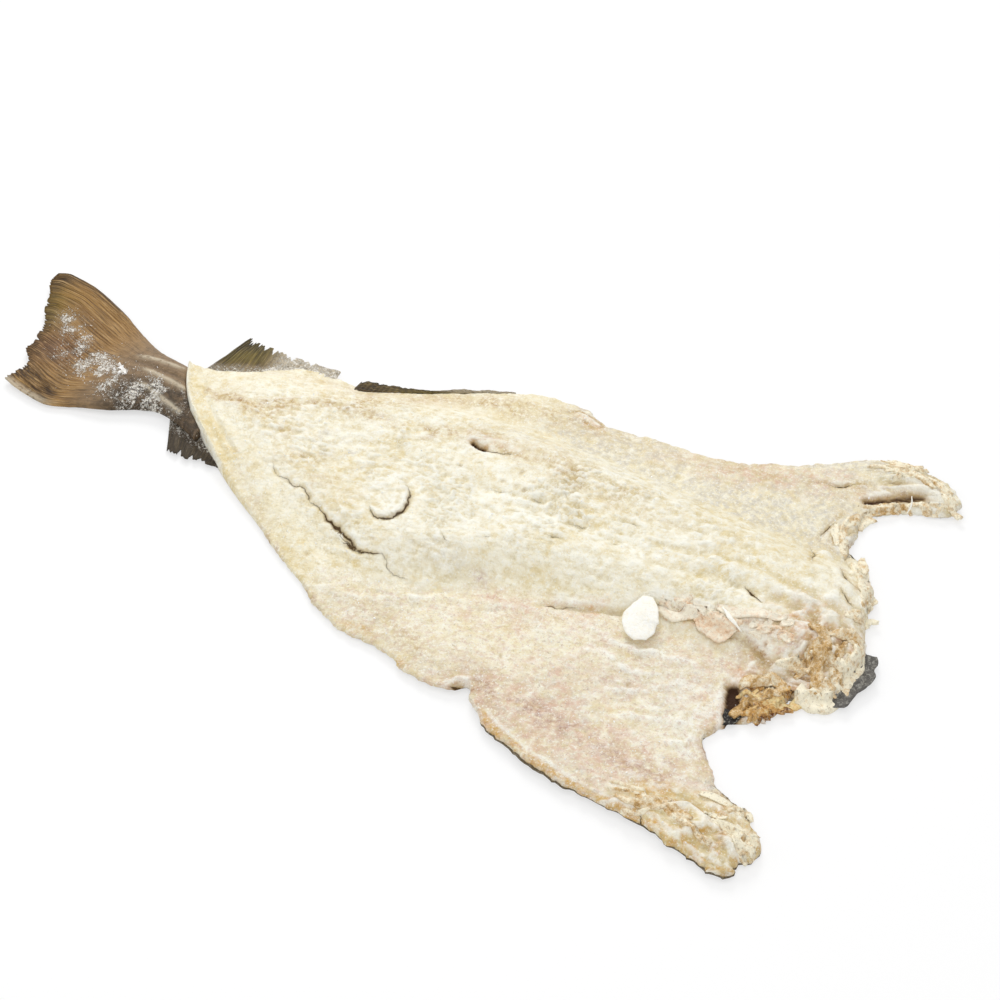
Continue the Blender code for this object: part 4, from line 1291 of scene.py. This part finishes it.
# %% The torn neck
joined("neck_folds", [
    tatter([(305, -4), (316, -13), (318, -28), (323, -44)], [6, 10, 12, 6], 4.0, 0.8, 141, 0.5,
           lift=0.8, rough=0.6),
    tatter([(304, -7), (317, -2), (329, 3), (338, 4)], [4, 9, 9, 5], 3.6, 0.6, 142, 0.15,
           lift=0.6, rough=0.8),
    tatter([(313, -46), (321, -50), (330, -50), (337, -42)], [7, 12, 13, 7], 6.0, 0.4, 143, -0.35, lift=0.4),
    tatter([(333, -36), (338, -23), (338, -8), (334, 2)], [7, 11, 10, 6], 5.2, 0.4, 144, -0.25, lift=0.3),
    tatter([(280, -63), (288, -53), (298, -49), (309, -53)], [5, 9, 9, 5], 3.0, 0.8, 145, 0.3, lift=1.6),
    tatter([(284, -85), (288, -74), (295, -71), (300, -82)], [4, 6, 6, 3], 3.0, 0.6, 146, 0.7, lift=1.6),
    tatter([(290, -70), (299, -59), (309, -56)], [4, 8, 5], 3.2, 0.6, 147, 0.45, lift=1.4)]
    + shreds([(310, -50), (320, -48), (329, -42), (334, -30), (336, -14), (338, -2)],
             12, 2.6, (9, 16), (4, 8), (2.5, 4.5), (-0.3, 0.4), 131, turn=70, swing=0.5, lift=0.2)
    + shreds([(304, -36), (316, -28), (326, -16), (330, 0)],
             9, 5.0, (9, 18), (4, 8), (1.6, 3.2), (-0.3, 0.45), 132, swing=0.4), torn_flesh)
joined("neck_tatters", shreds(
    [(295, -77), (300, -71), (307, -65)], 12, 2.2, (11, 22), (3, 5), (1.8, 3.0), (-0.1, 1.0),
    133, turn=-12, swing=0.2, lift=1.6) + shreds(
    [(289, -63), (298, -61), (306, -59), (314, -57)], 12, 2.8, (11, 20), (3, 6), (1.6, 3.0), (-0.2, 0.9),
    134, turn=24, swing=0.25, lift=0.8), yellow_flesh)

# %% The dark skin beside the torn neck, and dark skin at the cavity with its shade painted in
nape_skin = dried_skin("nape_skin", "#55524d", "#35332f", "#23211e", "#9c9a92", 0.7)
joined("nape_skin_ends", [
    tatter([(328, -46), (337, -33), (344, -16), (342, 3)], [14, 22, 21, 8], 1.6, 1.2, 97,
           heights=[3.2, 4.2, 4.6, 4.0], rough=0.9, wander=0.4, size=(40, 20))],
    nape_skin)
# A near-black sheet at the cavity's end: dark skin, with the cavity's shade painted into it.
joined("dark_skin_and_cavity_shade", [
    tatter([(275, -93), (283, -86), (291, -78)], [8, 11, 6], 1.4, 0.8, 98, 2.4, heights=[3.0, 3.6, 3.4])],
    torn_tissue("dark_skin_and_cavity_shade", "#241710", "#1a110b", "#0e0805"))

# %% The collars
joined("upper_collar_shreds", shreds(
    [(298, 168), (312, 170), (328, 166), (344, 155)], 24, 4.0, (14, 28), (3, 6), (1.8, 3.6), (-0.3, 0.15),
    135, swing=0.16) + shreds(
    [(297, 120), (290, 106), (288, 90), (292, 78)], 12, 2.6, (12, 22), (3, 6), (1.5, 2.6), (-0.4, 0.15),
    139, swing=0.15) + shreds(
    [(303, 74), (316, 61), (326, 48), (329, 34), (325, 16)], 14, 3.0, (9, 18), (4, 8), (1.8, 3.2),
    (-0.4, 0.05), 140, swing=0.35) + shreds(
    [(298, 128), (311, 138), (326, 143), (342, 147)], 10, 1.5, (12, 22), (2.5, 4.5), (1.5, 3), (-0.2, 0.35),
    136, swing=0.14), torn_flesh)
joined("lower_collar_folds", shreds(
    [(250, -180), (262, -177), (280, -175), (298, -178)], 12, 4.0, (14, 26), (3, 6), (1.5, 2.8), (-0.1, 0.4),
    137, swing=0.15) + shreds(
    [(302, -152), (314, -158), (326, -168), (330, -184)], 12, 4.5, (12, 22), (3, 6), (1.5, 3), (-0.4, 0.0),
    138, turn=25, swing=0.3), torn_flesh)

# %% [markdown]
# ## Salt
#
# Coarse salt stuck to the tail while it dried, and crumbs of it lie on the flesh. Each grain is
# the hull of a few random points, turned at random. They could be instances, but one joined
# mesh travels better.

# %% Make a few crystals
def crystal(random):
    """Points and faces of one grain, about 1 across."""
    work = bmesh.new()
    for place in random.uniform(-0.5, 0.5, (11, 3)):
        work.verts.new(place)
    hull = bmesh.ops.convex_hull(work, input=work.verts[:])
    bmesh.ops.delete(work, geom=[v for v in hull["geom_interior"] if isinstance(v, bmesh.types.BMVert)])
    work.verts.index_update()
    points = np.array([tuple(v.co) for v in work.verts])
    faces = [[v.index for v in face.verts] for face in work.faces]
    work.free()
    return points, faces


random = np.random.default_rng(120)
CRYSTALS = [crystal(random) for _ in range(12)]


def grains_at(name, places, sizes, heights):
    """One joined mesh of grains."""
    points, faces, count = [], [], 0
    for number, ((px, py), size, pz) in enumerate(zip(places, sizes, heights)):
        shape, sides = CRYSTALS[number % len(CRYSTALS)]
        turn = random.uniform(0, 2 * math.pi)
        c, s = math.cos(turn) * size, math.sin(turn) * size
        points.append(np.stack([
            px + shape[:, 0] * c - shape[:, 1] * s, py + shape[:, 0] * s + shape[:, 1] * c,
            pz + 0.2 * size + shape[:, 2] * size], -1))
        faces += [[n + count for n in side] for side in sides]
        count += len(shape)
    piece = piece_from(name, np.concatenate(points), faces)
    piece.data.polygons.foreach_set("use_smooth", np.zeros(len(faces), bool))
    return piece


# %% Strew salt on the tail
places = random.uniform((-338, -46), (-192, 62), (30000, 2))
lying = salt_on_tail(places[:, 0], places[:, 1]) ** 1.5
width_there = tail_upper(places[:, 0]) - tail_lower(places[:, 0])
inside = np.abs(2 * places[:, 1] - tail_lower(places[:, 0]) - tail_upper(places[:, 0])) < 0.9 * width_there
gap, side, _ = trail(places[:, 0], places[:, 1], FOLD_LINE)
keep = (random.uniform(0, 1, len(places)) < 0.35 * lying) & inside & ((side < 0) & (gap > 1))
places = places[keep][:2600]
BIG_GRAINS = [
    (-238, 1, 5.6), (-234, -1, 5.0), (-241, 3, 3.8), (-231, -3, 3.6), (-236, -4, 3.4), (-242, -2, 2.6),
    (-284, 12, 1.8), (-262, -1, 1.7)]
places = np.concatenate([places, [grain[:2] for grain in BIG_GRAINS]])
sizes = 0.35 + 0.85 * random.uniform(0, 1, len(places)) ** 3
sizes[-len(BIG_GRAINS):] = [grain[2] for grain in BIG_GRAINS]
tail_height = height_over(tail_x, tail_y, tail_top)
salt = grains_at("salt_grains", places, sizes, tail_height(places[:, 0], places[:, 1]))
print(f"{len(places)} grains on the tail")

# %% Crumbs of salt on the flesh
CRUMB_TRIES, CRUMBS = 9000, 1800
picked = random.integers(0, flesh_x.size, CRUMB_TRIES)
keep = random.uniform(0, 1, len(picked)) < 0.10 + 0.5 * highlit_peaks.reshape(-1)[picked]
keep &= (flesh_gap.reshape(-1)[picked] > 4) & (flesh_top.reshape(-1)[picked] < HIGHEST - 1)
picked = picked[keep][:CRUMBS]
places = np.stack([flesh_x.reshape(-1)[picked], flesh_y.reshape(-1)[picked]], -1)
places = places + random.normal(0, 0.4, places.shape)
sizes = 0.5 + 1.1 * random.uniform(0, 1, len(places)) ** 3
crumbs = grains_at("salt_crumbs", places, sizes, flesh_top.reshape(-1)[picked] - 0.1)

# %% The salt material
salt_crystal, tree, shader = new_material("salt_crystal", 0.4, 1.54)
salt_tone = stain(tree, colour("#f4f1ea"), "#ffffff", speckle(tree, 2.0, 0.4, 0.6))
tree.links.new(salt_tone, shader.inputs["Base Color"])
for piece in (salt, crumbs):
    settle(piece, salt_crystal)

# %% [markdown]
# ## Floor, light and camera
#
# A pale floor takes a soft shadow. A broad lamp behind and to the left of the fish throws
# the light along its relief and a wide one overhead softens it. Three weaker lamps fill the
# front, the tail and the head, and the sky fills the rest.

# %% The floor
floor_mesh = bpy.data.meshes.new("floor")
floor_mesh.from_pydata([(-6, -6, 0), (6, -6, 0), (6, 6, 0), (-6, 6, 0)], [], [(0, 1, 2, 3)])
floor = bpy.data.objects.new("floor", floor_mesh)
bpy.context.scene.collection.objects.link(floor)
floor_paint, tree, shader = new_material("floor_paint", 0.9)
shader.inputs["Base Color"].default_value = colour("#fafafa")
shader.inputs["Specular IOR Level"].default_value = 0.0
seen = add(tree, "LightPath").node.outputs
glow = add(tree, "Emission", {"Color": (1, 1, 1, 1), "Strength": 1.0})
direct = add(tree, "Math", {0: seen["Is Camera Ray"], 1: seen["Is Glossy Ray"]}, operation="MAXIMUM")
place = add(tree, "NewGeometry", out="Position")
far = add(tree, "VectorMath", {0: place}, out="Value", operation="LENGTH")
glow_share = add(tree, "MapRange", {0: far, 1: 0.6, 2: 1.8, 3: 0.6, 4: 1.0})
share = add(tree, "Math", {0: direct, 1: glow_share}, operation="MULTIPLY")
painted = add(tree, "MixShader", {0: share, 1: shader.outputs[0], 2: glow})
tree.links.new(painted, tree.nodes["Material Output"].inputs["Surface"])
floor_mesh.materials.append(floor_paint)

# %% The sky
world = bpy.data.worlds.new("studio")
bpy.context.scene.world = world
world.use_nodes = True
tree = world.node_tree
tree.nodes.clear()
seen = add(tree, "LightPath").node.outputs
direct = add(tree, "Math", {0: seen["Is Camera Ray"], 1: seen["Is Glossy Ray"]}, operation="MAXIMUM")
direct = add(tree, "Math", {0: direct, 1: seen["Is Transmission Ray"]}, operation="MAXIMUM")
ambient = add(tree, "Background", {"Color": (1, 1, 1, 1), "Strength": 0.42})
white_sky = add(tree, "Background", {"Color": (1, 1, 1, 1), "Strength": 1.0})
add(tree, "OutputWorld", {"Surface": add(tree, "MixShader", {0: direct, 1: ambient, 2: white_sky})})


# %% The lamps
def lamp(name, place, size, power):
    light = bpy.data.lights.new(name, "AREA")
    light.shape, light.size, light.energy = "SQUARE", size, power
    thing = bpy.data.objects.new(name, light)
    thing.location = place
    thing.rotation_euler = (-Vector(place)).to_track_quat("-Z", "Y").to_euler()
    bpy.context.scene.collection.objects.link(thing)


lamp("window", (-0.75, 1.35, 1.25), 0.7, 18.0)
lamp("overhead", (0.1, -0.1, 1.9), 1.6, 9.0)
lamp("front_fill", (0.5, -1.5, 1.3), 1.4, 8.0)
lamp("tail_fill", (-1.4, -0.7, 0.9), 1.0, 3.6)
lamp("head_fill", (1.3, 0.5, 1.1), 1.2, 3.2)

# %% The camera
AZIMUTH, ELEVATION, DISTANCE = math.radians(28), math.radians(45), 1.388
VIEW_ANGLE = math.radians(28)
TARGET = Vector((0.066, 0.020 + STEP_Y * MM, 0.0))
level = math.cos(ELEVATION)
back = Vector((math.sin(AZIMUTH) * level, -math.cos(AZIMUTH) * level, math.sin(ELEVATION)))
lens = bpy.data.cameras.new("camera")
lens.sensor_width = 36.0
lens.angle = VIEW_ANGLE
camera = bpy.data.objects.new("camera", lens)
camera.location = TARGET + back * DISTANCE
camera.rotation_euler = (-back).to_track_quat("-Z", "Y").to_euler()
bpy.context.scene.collection.objects.link(camera)
bpy.context.scene.camera = camera
bpy.context.scene.view_settings.view_transform = "Standard"
